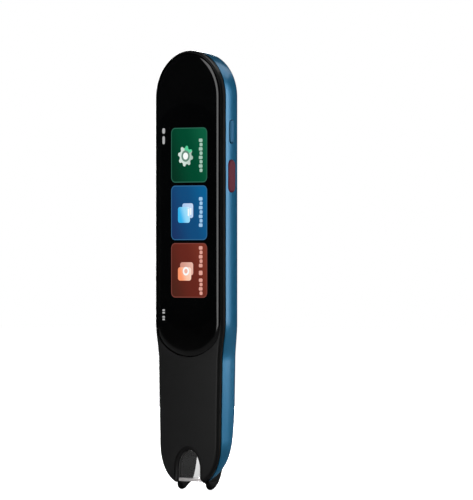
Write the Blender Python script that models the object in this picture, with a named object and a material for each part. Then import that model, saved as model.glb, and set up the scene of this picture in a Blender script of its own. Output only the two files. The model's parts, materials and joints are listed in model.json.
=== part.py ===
"""A hand-held scanning pen, built as it comes apart on a bench.

The pen stands nose down, as it is held over a line of print. X runs across the pen, with the keys on
+X and the charging port on -X. -Y is the screen side and +Y the back. Z is up, and the tips of the two
feet are at zero. Every place is given as a distance down from the top and a depth behind the front face,
because that is how such a pen is drawn. All lengths are in metres.
"""

import math

import bmesh
import bpy

# The whole pen
LENGTH = 0.158
WIDTH = 0.0338
THICKNESS = 0.0125
SEAT_GAP = 0.0003
OVERRUN = 0.002

# Its outline seen from the front
SHOULDER_UP = 0.0603
SHOULDER_DOWN = LENGTH - SHOULDER_UP
SHOULDER_LENGTH = 0.0143
GRIP_STEP = 0.0016
GRIP_WIDTH = WIDTH - 2 * GRIP_STEP
NECK_STEP = 0.00055
NECK_WIDTH = GRIP_WIDTH - 2 * NECK_STEP
NOSE_UP = 0.0190
NOSE_DOWN = LENGTH - NOSE_UP
NOSE_LENGTH = 0.0176
NOSE_LENGTH_POWER = 2.5
NOSE_WIDTH_POWER = 2.4

# The black front shell
PARTING_DEPTH = 0.0017
FRONT_EDGE_RADIUS = 0.00085
PANEL_THICKNESS = 0.0019
LIP_INSET = 0.0015
LIP_WALL = 0.001
LIP_DEPTH = 0.003
LIP_END_UP = 0.0100
LIP_END_DOWN = LENGTH - LIP_END_UP
ARCH_TOP_UP = 0.01445
ARCH_TOP_DOWN = LENGTH - ARCH_TOP_UP
ARCH_HEIGHT = 0.0070
ARCH_WIDTH = 0.0114
ARCH_RIM_WIDTH = 0.0013
ARCH_RIM_DEPTH = 0.0004
ARCH_FLARE_UP = 0.0046
ARCH_FLARE_DOWN = LENGTH - ARCH_FLARE_UP
ARCH_FLARE_LENGTH = 0.0016
ARCH_FLARE_STEP = 0.0012

# The blue back shell
SHELL_WALL = 0.0012
BACK_WALL = 0.0013
RIDGE_DEPTH = 0.0093
RIDGE_INSET_BODY = 0.001
RIDGE_INSET_GRIP = 0.00035
RIDGE_ROUNDING = 0.0013
WALL_BOW = 0.00015
BACK_FLAT_WIDTH = 0.008
CROWN_POWER = 2.3
SWEEP_UP = 0.0293
SWEEP_DOWN = LENGTH - SWEEP_UP
SWEEP_LENGTH = 0.0258
SWEEP_POWER = 0.6
SWEEP_BASE = 0.0023
NOTCH_TOP_UP = 0.0218
NOTCH_TOP_DOWN = LENGTH - NOTCH_TOP_UP
NOTCH_WIDTH = 0.0135
NOTCH_CORNER = 0.0012
NOTCH_FLARE_UP = 0.0190
NOTCH_FLARE_DOWN = LENGTH - NOTCH_FLARE_UP
NOTCH_FLARE_END_UP = 0.0090
NOTCH_FLARE_END_DOWN = LENGTH - NOTCH_FLARE_END_UP
NOTCH_FLARE_STEP = 0.00155
NOTCH_FLARE_WIDTH = NOTCH_WIDTH + 2 * NOTCH_FLARE_STEP

# Cover glass and display
GLASS_INSET = 0.0015
GLASS_THICKNESS = 0.00085
GLASS_CLEARANCE = 0.00015
GLASS_BOTTOM_UP = 0.0478
GLASS_BOTTOM_DOWN = LENGTH - GLASS_BOTTOM_UP
GLASS_ARC_RADIUS = 0.020
GLASS_EDGE_WIDTH = 0.0009
GLASS_CORNER_POWER = 24
DISPLAY_SIDE_SPACE = 0.0032
DISPLAY_WIDTH = WIDTH - 2 * DISPLAY_SIDE_SPACE
DISPLAY_TOP_DOWN = 0.0184
DISPLAY_BOTTOM_UP = 0.0572
DISPLAY_LENGTH = LENGTH - DISPLAY_BOTTOM_UP - DISPLAY_TOP_DOWN
DISPLAY_THICKNESS = 0.0016
DISPLAY_CORNER = 0.0015

# Speaker and its ring of holes
SPEAKER_DOWN = 0.0181
GRILLE_RADII = (0.00627, 0.00514, 0.00390)
GRILLE_HOLE_DIAMETER = 0.0008
GRILLE_HOLES_PER_RING = 14
MESH_DIAMETER = 0.0136
MESH_THICKNESS = 0.0002
MESH_CLEARANCE = 0.00055
GASKET_RIM = 0.0009
GASKET_THICKNESS = 0.0008
SPEAKER_THICKNESS = 0.0028
MAGNET_DIAMETER = 0.009
MAGNET_THICKNESS = 0.0015

# Side keys and their switches
KEY_DEPTH = 0.0052
KEY_PROUD = 0.0003
KEY_EDGE = 0.0002
KEY_CLEARANCE = 0.0002
CONTACT_CLEARANCE = 0.0001
KEY_TRAVEL = 0.00035
KEY_FLANGE_THICKNESS = 0.0007
KEY_FLANGE_REACH = 0.0009
KEY_FLANGE_WIDTH = 0.0022
KEY_NUB_LENGTH = 0.0006
KEY_NUB_WIDTH = 0.0016
POWER_KEY_DOWN = 0.0294
POWER_KEY_LENGTH = 0.0083
POWER_KEY_WIDTH = 0.0025
FUNCTION_KEY_DOWN = 0.0453
FUNCTION_KEY_LENGTH = 0.0116
FUNCTION_KEY_WIDTH = 0.0037
SWITCH_LENGTH = 0.0044
SWITCH_BODY_WIDTH = 0.0022
SWITCH_PLUNGER_LENGTH = 0.0006
SWITCH_PLUNGER_WIDTH = 0.0014

# Charging port
PORT_DOWN = 0.0319
PORT_DEPTH = 0.0055
PORT_LENGTH = 0.0089
PORT_WIDTH = 0.0032
PORT_SHELL_WALL = 0.0003
PORT_BODY_LENGTH = 0.0072
PORT_RECESS = 0.0008
PORT_BACK_THICKNESS = 0.0012
TONGUE_LENGTH = 0.0046
TONGUE_WIDTH = 0.0064
TONGUE_THICKNESS = 0.0007
PORT_CUT_CLEARANCE = 0.0003

# Inner frame
FRAME_DEPTH = 0.0033
FRAME_THICKNESS = 0.0008
FRAME_INSET = 0.0034
FRAME_END_UP = 0.0400
FRAME_END_DOWN = LENGTH - FRAME_END_UP
FRAME_SLOT_WIDTH = 0.013
FRAME_SLOT_LENGTH = 0.0014
CRADLE_RIB = 0.0008
CRADLE_RIB_HEIGHT = 0.0024
SPRING_SEAT_THICKNESS = 0.0008
SPRING_SEAT_WIDTH = 0.0044
SPRING_SEAT_HEIGHT = 0.0040

# Circuit board and what is on it
BOARD_DEPTH = 0.00745
BOARD_THICKNESS = 0.0008
BOARD_SIDE_SPACE = 0.0038
BOARD_WIDTH = WIDTH - 2 * BOARD_SIDE_SPACE
BOARD_TOP_DOWN = 0.0268
BOARD_LENGTH = 0.0278
CAN_WIDTH = 0.0124
CAN_LENGTH = 0.0120
CAN_HEIGHT = 0.0019
CAN_WALL = 0.0003
CAN_DOWN = 0.0440
PROCESSOR_SIDE = 0.0070
MEMORY_LENGTH = 0.0080
MEMORY_WIDTH = 0.0030
CHIP_HEIGHT = 0.0009
CHIP_SPACE = 0.0006
MICROPHONE_LENGTH = 0.0035
MICROPHONE_WIDTH = 0.00265
MICROPHONE_HEIGHT = 0.001
MICROPHONE_DOWN = 0.0352
MICROPHONE_ACROSS = 0.0045
CONNECTOR_LENGTH = 0.0022
CONNECTOR_WIDTH = 0.0100
CONNECTOR_HEIGHT = 0.0008
DISPLAY_CONNECTOR_DOWN = 0.0524
CAMERA_CONNECTOR_DOWN = 0.0510
CAMERA_CONNECTOR_WIDTH = 0.0060
BATTERY_CONNECTOR_WIDTH = 0.0034
BATTERY_CONNECTOR_LENGTH = 0.0032
BATTERY_CONNECTOR_HEIGHT = 0.0016
BATTERY_CONNECTOR_INSET = 0.0028
BATTERY_CONNECTOR_ACROSS = BATTERY_CONNECTOR_INSET - BOARD_WIDTH / 2
BATTERY_CONNECTOR_DOWN = 0.0526
RIBBON_THICKNESS = 0.00015
RIBBON_CLEARANCE = 0.0002
DISPLAY_RIBBON_WIDTH = 0.0090
DISPLAY_RIBBON_START_DOWN = 0.0640
DISPLAY_RIBBON_TURN_DOWN = 0.0554
CAMERA_RIBBON_WIDTH = 0.0056
CAMERA_RIBBON_DEPTH = 0.0098
ANTENNA_LENGTH = 0.0030
ANTENNA_WIDTH = 0.0090
ANTENNA_DOWN = 0.0059
ANTENNA_THICKNESS = 0.0003

# Battery
BATTERY_SIDE_SPACE = 0.0056
BATTERY_WIDTH = WIDTH - 2 * BATTERY_SIDE_SPACE
BATTERY_BOTTOM_UP = 0.0520
BATTERY_THICKNESS = 0.0043
BATTERY_TOP_DOWN = 0.0580
BATTERY_LENGTH = LENGTH - BATTERY_BOTTOM_UP - BATTERY_TOP_DOWN
BATTERY_EDGE = 0.0012
BATTERY_PAD_THICKNESS = 0.0004
LEAD_DIAMETER = 0.0007
LEAD_PITCH = 0.0012
LEAD_SAG = 0.0004

# Scanning nose
NOSE_FRAME_DEPTH = 0.0035
NOSE_FRAME_WALL = 0.0008
NOSE_FRAME_TOP_UP = 0.0385
NOSE_FRAME_TOP_DOWN = LENGTH - NOSE_FRAME_TOP_UP
NOSE_FRAME_WIDTH = 0.0132
NOSE_SIDE_WALL = 0.0006
HOOD_BACK_DEPTH = 0.0100
HOOD_BACK_UP = 0.0211
HOOD_BACK_DOWN = LENGTH - HOOD_BACK_UP
HOOD_FRONT_UP = 0.0161
HOOD_FRONT_DOWN = LENGTH - HOOD_FRONT_UP
HOOD_THICKNESS = 0.00095
CHEEK_STEP = 0.0002
WINDOW_DEPTH = 0.0006
WINDOW_THICKNESS = 0.001
WINDOW_BOTTOM_UP = 0.0030
WINDOW_BOTTOM_DOWN = LENGTH - WINDOW_BOTTOM_UP
CAMERA_WIDTH = 0.0084
CAMERA_DEPTH_SIZE = 0.0060
CAMERA_TOP_UP = 0.0310
CAMERA_TOP_DOWN = LENGTH - CAMERA_TOP_UP
CAMERA_LENGTH = 0.0086
BARREL_DEPTH = 0.0083
BARREL_DIAMETER = 0.0042
BARREL_LENGTH = 0.0036
LENS_DIAMETER = 0.0034
LENS_THICKNESS = 0.0008
HOOD_CLEARANCE = 0.0004
LED_WIDTH = 0.0014
LED_DEPTH_SIZE = 0.0016
LED_HEIGHT = 0.0008
LED_ACROSS = 0.0042
LED_DEPTH = 0.0088

# Sliding scan fork
FORK_TRAVEL = 0.0008
FORK_LEG_ACROSS = 0.0058
FORK_LEG_THICKNESS = 0.0015
FORK_FRONT_DEPTH = PANEL_THICKNESS + SEAT_GAP
FORK_BACK_DEPTH = 0.0112
FORK_TOP_UP = 0.0150
FORK_TOP_DOWN = LENGTH - FORK_TOP_UP
FORK_CORNER = 0.0020
FORK_BACK_LINE = (
    (0.0120, 0.0112),
    (0.0108, 0.01105),
    (0.0088, 0.01065),
    (0.0067, 0.01015),
    (0.0046, 0.00945),
    (0.0034, 0.0087),
    (0.0026, 0.0076),
    (0.0018, 0.0065),
    (0.0018, 0.0042),
    (0.0026, 0.0035),
)
FORK_FLANGE_OUTER = 0.0079
FORK_FLANGE_BACK_DEPTH = 0.0046
FORK_FLANGE_BOTTOM_UP = 0.0030
FOOT_ACROSS = 0.0071
FOOT_WIDTH = 0.0026
FOOT_ROUND_POWER = 2.5
FOOT_WIDTH_SHARES = (0.6, 0.9, 1.0, 1.0, 0.85, 0.6, 0.3)
FOOT_LINE = (
    (0.0034, 0.0023, 0.0087),
    (0.0028, 0.0022, 0.0082),
    (0.0021, 0.00225, 0.0074),
    (0.0013, 0.0024, 0.0066),
    (0.0006, 0.00275, 0.0057),
    (0.0002, 0.0032, 0.0050),
    (0.0, 0.0038, 0.0044),
)
ARM_ACROSS = 0.00695
ARM_END_UP = 0.0134
ARM_END_DOWN = LENGTH - ARM_END_UP
ARM_THICKNESS = 0.0015
ARM_DEPTH = 0.0048
ARM_DEPTH_SIZE = 0.0030
BRIDGE_UP = 0.0353
BRIDGE_DOWN = LENGTH - BRIDGE_UP
BRIDGE_THICKNESS = 0.0024
SPRING_DIAMETER = 0.0026
SPRING_WIRE = 0.0004
SPRING_TURNS = 5
SPRING_ACROSS = 0.0055
SPRING_DEPTH = 0.0065
NOSE_BOARD_DEPTH = 0.0086
NOSE_BOARD_THICKNESS = 0.0007
NOSE_BOARD_WIDTH = 0.0150
NOSE_BOARD_LENGTH = 0.0102
NOSE_BOARD_UP = 0.0464
NOSE_BOARD_DOWN = LENGTH - NOSE_BOARD_UP

# Screws
SCREW_HEAD_DIAMETER = 0.0024
SCREW_HEAD_HEIGHT = 0.0006
SCREW_SHANK_DIAMETER = 0.0011
SCREW_SHANK_LENGTH = 0.0034
SCREW_HOLE_CLEARANCE = 0.0003
POST_DIAMETER = 0.0032
TOP_SCREW_INSET = 0.0049
TOP_SCREW_REACH = (WIDTH / 2 - TOP_SCREW_INSET) * math.sqrt(0.5)
TOP_SCREW_DOWN = WIDTH / 2 - TOP_SCREW_REACH
GRIP_SCREW_INSET = 0.0048
GRIP_SCREW_ACROSS = GRIP_WIDTH / 2 - GRIP_SCREW_INSET
GRIP_SCREW_UP = 0.0488
GRIP_SCREW_DOWN = LENGTH - GRIP_SCREW_UP
FRAME_SCREW_PLACES = (
    (-TOP_SCREW_REACH, TOP_SCREW_DOWN),
    (TOP_SCREW_REACH, TOP_SCREW_DOWN),
    (-GRIP_SCREW_ACROSS, GRIP_SCREW_DOWN),
    (GRIP_SCREW_ACROSS, GRIP_SCREW_DOWN),
)
BOARD_SCREW_INSET = 0.0020
BOARD_SCREW_ACROSS = BOARD_WIDTH / 2 - BOARD_SCREW_INSET
BOARD_SCREW_DOWN_RIGHT = 0.0520
PORT_SCREW_SPACE = 0.00465
BOARD_SCREW_DOWN_LEFT = PORT_DOWN + PORT_LENGTH / 2 + PORT_SCREW_SPACE
BOARD_SCREW_PLACES = (
    (BOARD_SCREW_ACROSS, BOARD_SCREW_DOWN_RIGHT),
    (-BOARD_SCREW_ACROSS, BOARD_SCREW_DOWN_LEFT),
)
BOARD_SCREW_LENGTH = 0.0027
NOSE_BOARD_SCREW_ACROSS = 0.0056
NOSE_BOARD_SCREW_INSET = 0.0017
NOSE_BOARD_SCREW_DOWN = NOSE_BOARD_DOWN + NOSE_BOARD_SCREW_INSET
NOSE_BOARD_SCREW_PLACES = (
    (-NOSE_BOARD_SCREW_ACROSS, NOSE_BOARD_SCREW_DOWN),
    (NOSE_BOARD_SCREW_ACROSS, NOSE_BOARD_SCREW_DOWN),
)
NOSE_SCREW_ACROSS = 0.0057
NOSE_SCREW_UP = 0.0294
NOSE_SCREW_DOWN = LENGTH - NOSE_SCREW_UP
NOSE_POST_DIAMETER = 0.0026
NOSE_SCREW_LENGTH = 0.0022

# How finely curves are drawn
CAP_STEPS = 9
SHOULDER_STEPS = 5
NOSE_STEPS = 9
CROWN_STEPS = 3
ROUND_SIDES = 20
SMALL_ROUND_SIDES = 12


def clear_scene():
    """Remove every object that the scene starts with."""
    for item in list(bpy.data.objects):
        bpy.data.objects.remove(item, do_unlink=True)


def place(across, down, depth):
    """Turn a place on the pen's drawing into world coordinates."""
    return (across, depth - THICKNESS / 2, LENGTH - down)


def blend(share):
    """An S-curve from 0 to 1 with level ends."""
    share = min(max(share, 0.0), 1.0)
    return share * share * (3.0 - 2.0 * share)


def mix(start, end, share):
    """The value a share of the way from start to end."""
    return start + (end - start) * share


def material(name, colour, roughness, metallic=0.0):
    """A Principled material from a linear colour."""
    if name in bpy.data.materials:
        return bpy.data.materials[name]
    made = bpy.data.materials.new(name)
    made.use_nodes = True
    shader = made.node_tree.nodes["Principled BSDF"]
    shader.inputs["Base Color"].default_value = (*colour, 1.0)
    shader.inputs["Roughness"].default_value = roughness
    shader.inputs["Metallic"].default_value = metallic
    made.diffuse_color = (*colour, 1.0)
    return made


def black_plastic():
    return material("satin_black_plastic", (0.009, 0.009, 0.009), 0.45)


def blue_lacquer():
    return material("blue_lacquered_plastic", (0.018, 0.135, 0.30), 0.30, 0.35)


def red_plastic():
    return material("red_plastic", (0.26, 0.022, 0.045), 0.35)


def dark_glass():
    return material("printed_black_glass", (0.003, 0.003, 0.003), 0.05)


def clear_plastic():
    return material("clear_acrylic", (0.80, 0.82, 0.83), 0.05)


def sheet_steel():
    return material("sheet_steel", (0.48, 0.48, 0.46), 0.35, 1.0)


def steel_wire():
    return material("spring_steel", (0.55, 0.55, 0.55), 0.28, 1.0)


def board_green():
    return material("solder_mask", (0.01, 0.06, 0.035), 0.40)


def chip_black():
    return material("moulded_epoxy", (0.02, 0.02, 0.022), 0.60)


def amber_film():
    return material("polyimide_film", (0.42, 0.17, 0.03), 0.35)


def pouch_foil():
    return material("battery_pouch_foil", (0.50, 0.51, 0.52), 0.40, 0.9)


def grey_foam():
    return material("closed_cell_foam", (0.10, 0.10, 0.10), 0.95)


def finish(item, look, smooth_angle=math.radians(35)):
    """Give an object its material and smooth its round faces."""
    item.data.materials.clear()
    item.data.materials.append(look)
    item.data.shade_smooth()
    item.data.set_sharp_from_angle(angle=smooth_angle)
    return item


def from_bmesh(name, bm, look):
    """Turn a bmesh into a finished object with its faces pointing out."""
    bmesh.ops.recalc_face_normals(bm, faces=bm.faces[:])
    mesh = bpy.data.meshes.new(name)
    bm.to_mesh(mesh)
    bm.free()
    item = bpy.data.objects.new(name, mesh)
    bpy.context.scene.collection.objects.link(item)
    return finish(item, look)


def loop_solid(name, loops, look, mirrored=True):
    """A closed solid through loops of equal length, each next to the last.

    With mirrored loops, point i on the right faces the point as far round on the left, and the two ends
    are closed by strips between them. Otherwise each end is one flat face.
    """
    bm = bmesh.new()
    rings = [[bm.verts.new(place(*point)) for point in loop] for loop in loops]
    count = len(rings[0])
    for near, far in zip(rings, rings[1:]):
        for i in range(count):
            j = (i + 1) % count
            bm.faces.new((near[i], near[j], far[j], far[i]))
    for ring in (rings[0], rings[-1]):
        if not mirrored:
            bm.faces.new(ring)
            continue
        half = count // 2
        for i in range(half):
            corners = [ring[i], ring[i + 1], ring[(count - i - 1) % count], ring[(count - i) % count]]
            kept = list(dict.fromkeys(corners))
            bm.faces.new(kept)
    return from_bmesh(name, bm, look)


def prism(name, outline, shallow, deep, look):
    """An outline of (across, down) points, extruded from one depth to another."""
    loops = [[(across, down, depth) for across, down in outline] for depth in (shallow, deep)]
    return loop_solid(name, loops, look, mirrored=False)


def side_prism(name, profile, left, right, look):
    """A profile of (depth, down) points, extruded across the pen."""
    loops = [[(across, down, depth) for depth, down in profile] for across in (left, right)]
    return loop_solid(name, loops, look, mirrored=False)


def block(name, across, down, depth, look, edge=0.0):
    """A box between pairs of limits, with its edges broken by a small chamfer if edge is set."""
    outline = [(across[0], down[0]), (across[1], down[0]), (across[1], down[1]), (across[0], down[1])]
    item = prism(name, outline, depth[0], depth[1], look)
    if edge > 0.0:
        chamfer = item.modifiers.new("broken_edges", "BEVEL")
        chamfer.width = edge
        chamfer.segments = 1
        chamfer.limit_method = "ANGLE"
    return item


def around(middle, size):
    """The two limits of a size centred on a place."""
    return (middle - size / 2, middle + size / 2)


def disc_outline(across, down, diameter, sides=ROUND_SIDES):
    """Points round a circle, as (across, down)."""
    turn = 2.0 * math.pi / sides
    radius = diameter / 2
    return [(across + radius * math.cos(i * turn), down + radius * math.sin(i * turn)) for i in range(sides)]


def disc(name, across, down, diameter, depths, look, sides=ROUND_SIDES):
    """A round plate or rod whose axis runs through the pen from front to back."""
    return prism(name, disc_outline(across, down, diameter, sides), depths[0], depths[1], look)


def rod(name, across, depth, diameter, downs, look, sides=ROUND_SIDES):
    """A round rod whose axis runs along the pen."""
    ring = disc_outline(across, depth, diameter, sides)
    loops = [[(x, down, y) for x, y in ring] for down in downs]
    return loop_solid(name, loops, look, mirrored=False)


def stadium(middle, length, width, steps=6):
    """A slot outline round a middle (down, depth), long along the pen, with half-round ends."""
    radius = width / 2
    reach = length / 2 - radius
    points = []
    for sign in (1.0, -1.0):
        for i in range(steps + 1):
            angle = math.pi * i / steps
            along = middle[0] + sign * (reach + radius * math.sin(angle))
            points.append((along, middle[1] + sign * radius * math.cos(angle)))
    return points


def across_prism(name, outline, left, right, look):
    """An outline of (down, depth) points, extruded across the pen."""
    return side_prism(name, [(depth, down) for down, depth in outline], left, right, look)


def rounded_rectangle(left, right, top, bottom, radius, steps=3):
    """A rectangle with round corners, as (across, down) points."""
    points = []
    corners = (
        (right, top, 1.0, -1.0),
        (right, bottom, 1.0, 1.0),
        (left, bottom, -1.0, 1.0),
        (left, top, -1.0, -1.0),
    )
    for number, (x, z, sx, sz) in enumerate(corners):
        for i in range(steps + 1):
            share = i / steps if number % 2 == 0 else 1.0 - i / steps
            angle = share * math.pi / 2
            points.append((x - sx * radius * (1 - math.sin(angle)), z - sz * radius * (1 - math.cos(angle))))
    return points


def boolean(target, tool, operation):
    """Cut a tool out of a target, or join it on."""
    step = target.modifiers.new(operation.lower(), "BOOLEAN")
    step.operation = operation
    step.object = tool
    step.solver = "EXACT"
    tool.hide_render = True
    tool.display_type = "WIRE"


def cut(target, tool):
    boolean(target, tool, "DIFFERENCE")


def join(target, tool):
    boolean(target, tool, "UNION")


def several(name, outlines, shallow, deep, look):
    """One object made of many separate prisms, to serve as a single cutting tool."""
    bm = bmesh.new()
    for outline in outlines:
        near = [bm.verts.new(place(across, down, shallow)) for across, down in outline]
        far = [bm.verts.new(place(across, down, deep)) for across, down in outline]
        bm.faces.new(near)
        bm.faces.new(far)
        for i in range(len(near)):
            j = (i + 1) % len(near)
            bm.faces.new((near[i], near[j], far[j], far[i]))
    return from_bmesh(name, bm, look)


# The outline of the casing, as rays from its middle line


def half_width(down):
    """Half the casing's width below its round top and above its nose."""
    shoulder = blend((down - SHOULDER_DOWN) / SHOULDER_LENGTH)
    grip_down = SHOULDER_DOWN + SHOULDER_LENGTH
    grip = mix(GRIP_WIDTH, NECK_WIDTH, min(max((down - grip_down) / (NOSE_DOWN - grip_down), 0.0), 1.0))
    return mix(WIDTH, grip, shoulder) / 2


def casing_rays():
    """Rays (start down, across share, down share, reach) from the middle line to the outline, right side."""
    radius = WIDTH / 2
    rays = []
    for i in range(CAP_STEPS):
        angle = math.pi / 2 * i / CAP_STEPS
        rays.append((radius, math.sin(angle), -math.cos(angle), radius))
    sides = [mix(radius, SHOULDER_DOWN, i / 3) for i in range(3)]
    sides += [SHOULDER_DOWN + SHOULDER_LENGTH * i / SHOULDER_STEPS for i in range(SHOULDER_STEPS + 1)]
    grip_down = SHOULDER_DOWN + SHOULDER_LENGTH
    sides += [mix(grip_down, NOSE_DOWN, i / 3) for i in range(1, 3)]
    for down in sides:
        rays.append((down, 1.0, 0.0, half_width(down)))
    for i in range(NOSE_STEPS + 1):
        angle = math.pi / 2 * i / NOSE_STEPS
        across = NECK_WIDTH / 2 * max(math.cos(angle), 0.0) ** (2 / NOSE_WIDTH_POWER)
        down = NOSE_LENGTH * math.sin(angle) ** (2 / NOSE_LENGTH_POWER)
        if i == NOSE_STEPS:
            across = 0.0
        reach = math.hypot(across, down)
        rays.append((NOSE_DOWN, across / reach, down / reach, reach))
    return rays


def glass_rays():
    """Rays to the outline of the cover glass, whose lower end is an arc that bulges down."""
    radius = WIDTH / 2
    rays = []
    for i in range(CAP_STEPS):
        angle = math.pi / 2 * i / CAP_STEPS
        rays.append((radius, math.sin(angle), -math.cos(angle), radius - GLASS_INSET))
    arc_centre = GLASS_BOTTOM_DOWN - GLASS_ARC_RADIUS
    for i in range(3):
        rays.append((mix(radius, arc_centre, i / 3), 1.0, 0.0, radius - GLASS_INSET))
    steps = 2 * CAP_STEPS
    for i in range(steps + 1):
        angle = math.pi / 2 * i / steps
        reach = GLASS_ARC_RADIUS
        for _ in range(8):
            side = half_width(arc_centre + reach * math.sin(angle)) - GLASS_INSET
            to_side = side / max(math.cos(angle), 1e-6)
            ratio = GLASS_ARC_RADIUS / to_side
            reach = GLASS_ARC_RADIUS / (1.0 + ratio**GLASS_CORNER_POWER) ** (1.0 / GLASS_CORNER_POWER)
        across = 0.0 if i == steps else math.cos(angle)
        rays.append((arc_centre, across, math.sin(angle), reach))
    return rays


def ring(rays, inset_and_depth):
    """A closed loop: each ray's end pulled in and set at a depth, then the same mirrored on the left."""
    right = []
    for ray in rays:
        inset, depth = inset_and_depth(ray)
        reach = ray[3] - inset
        right.append((ray[1] * reach, ray[0] + ray[2] * reach, depth))
    left = [(-across, down, depth) for across, down, depth in right[-2:0:-1]]
    return right + left


def flat_rings(rays, steps):
    """Loops at fixed (inset, depth) steps."""
    return [ring(rays, lambda ray, step=step: step) for step in steps]


def ridge_inset(down):
    """How far the ridge between side and back stands in from the outline."""
    return mix(RIDGE_INSET_BODY, RIDGE_INSET_GRIP, blend((down - SHOULDER_DOWN) / SHOULDER_LENGTH))


def sweep_share(down, shorter):
    """The share of its height that the back keeps towards the nose: a curve like a quarter ellipse."""
    along = (down - SWEEP_DOWN) / (SWEEP_LENGTH - shorter)
    return max(0.0, 1.0 - max(along, 0.0) ** 2) ** SWEEP_POWER


def swept(depth, down, shorter):
    """Bring the back forward towards the nose."""
    keep = sweep_share(down, shorter)
    base = SWEEP_BASE if shorter == 0.0 else PARTING_DEPTH + SEAT_GAP
    return base + (depth - base) * keep if depth > base else depth


def back_section(ray, wall, floor):
    """The shell's section along a ray, from its rim to the flat of the back, as (inset, depth) pairs."""
    reach = ray[3] - wall
    outline_down = ray[0] + ray[2] * ray[3]
    rim = PARTING_DEPTH + SEAT_GAP
    top = THICKNESS - floor
    ridge = (reach - ridge_inset(outline_down), RIDGE_DEPTH - floor)
    flat = reach * BACK_FLAT_WIDTH / WIDTH
    slope = (ridge[1] - rim) / math.hypot(ridge[1] - rim, reach - ridge[0])
    wall_end = (mix(ridge[0], reach, RIDGE_ROUNDING / (ridge[1] - rim)), ridge[1] - RIDGE_ROUNDING * slope)

    def crown(distance):
        share = max(distance - flat, 0.0) / (ridge[0] - flat)
        return top - (top - ridge[1]) * share**CROWN_POWER

    crown_start = ridge[0] - RIDGE_ROUNDING
    points = [(reach, rim)]
    bow = WALL_BOW * sweep_share(outline_down, wall)
    points.append((mix(reach, wall_end[0], 0.5) + bow, mix(rim, wall_end[1], 0.5)))
    start, end = wall_end, (crown_start, crown(crown_start))
    for share in (0.0, 0.33, 0.67):
        first = (mix(start[0], ridge[0], share), mix(start[1], ridge[1], share))
        second = (mix(ridge[0], end[0], share), mix(ridge[1], end[1], share))
        points.append((mix(first[0], second[0], share), mix(first[1], second[1], share)))
    for i in range(CROWN_STEPS + 1):
        distance = mix(crown_start, flat, i / CROWN_STEPS)
        points.append((distance, crown(distance)))
    swept_points = []
    for distance, depth in points:
        down = ray[0] + ray[2] * distance
        swept_points.append((ray[3] - distance, swept(depth, down, wall)))
    return swept_points


def back_surface_depth(across, down, floor=0.0):
    """How deep the back lies at a place away from its edges."""
    radius = WIDTH / 2
    distance = math.hypot(across, min(down - radius, 0.0))
    half = half_width(down)
    flat = half * BACK_FLAT_WIDTH / WIDTH
    ridge = half - ridge_inset(down)
    share = max(distance - flat, 0.0) / (ridge - flat)
    return THICKNESS - floor - (THICKNESS - RIDGE_DEPTH) * share**CROWN_POWER


def side_across(down, depth, wall):
    """How far out the side wall's face is at a depth, on its outside or, with a wall, its inside."""
    rim = PARTING_DEPTH + SEAT_GAP
    floor = BACK_WALL if wall > 0.0 else 0.0
    share = (depth - rim) / (RIDGE_DEPTH - floor - rim)
    return half_width(down) - wall - ridge_inset(down) * share


# Casing


def arch_outline(margin, bottom_down):
    """The round-topped notch in the nose, widened by a margin and open below."""
    half = ARCH_WIDTH / 2 + margin
    height = ARCH_HEIGHT + margin
    spring = ARCH_TOP_DOWN + ARCH_HEIGHT
    points = []
    for i in range(2 * CAP_STEPS + 1):
        angle = math.pi * i / (2 * CAP_STEPS)
        points.append((half * math.cos(angle), spring - height * math.sin(angle)))
    return points + [(-half, bottom_down), (half, bottom_down)]


def arch_opening(margin):
    """The arch with its sides turned outwards at the foot, so that the legs of the nose end round."""
    half = ARCH_WIDTH / 2 + margin
    flare = []
    for i in range(5):
        angle = math.pi / 2 * i / 4
        across = half + ARCH_FLARE_STEP * (1 - math.cos(angle))
        flare.append((across, ARCH_FLARE_DOWN + ARCH_FLARE_LENGTH * math.sin(angle)))
    flare.append((half + ARCH_FLARE_STEP, LENGTH + OVERRUN))
    left = [(-across, down) for across, down in flare]
    return arch_outline(margin, ARCH_FLARE_DOWN)[:-2] + left + flare[::-1]


def notch_outline():
    """The opening in the back shell: square above, then flaring so that each leg ends as a lobe."""
    half = NOTCH_WIDTH / 2
    flare = NOTCH_FLARE_WIDTH / 2
    right = []
    for i in range(4):
        angle = math.pi / 2 * i / 3
        across = half - NOTCH_CORNER * (1 - math.sin(angle))
        right.append((across, NOTCH_TOP_DOWN + NOTCH_CORNER * (1 - math.cos(angle))))
    for share in (0.0, 0.25, 0.5, 0.75, 1.0):
        down = mix(NOTCH_FLARE_DOWN, NOTCH_FLARE_END_DOWN, share)
        right.append((mix(half, flare, math.sin(share * math.pi / 2)), down))
    right.append((flare, LENGTH + OVERRUN))
    return right + [(-across, down) for across, down in reversed(right)]


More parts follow.
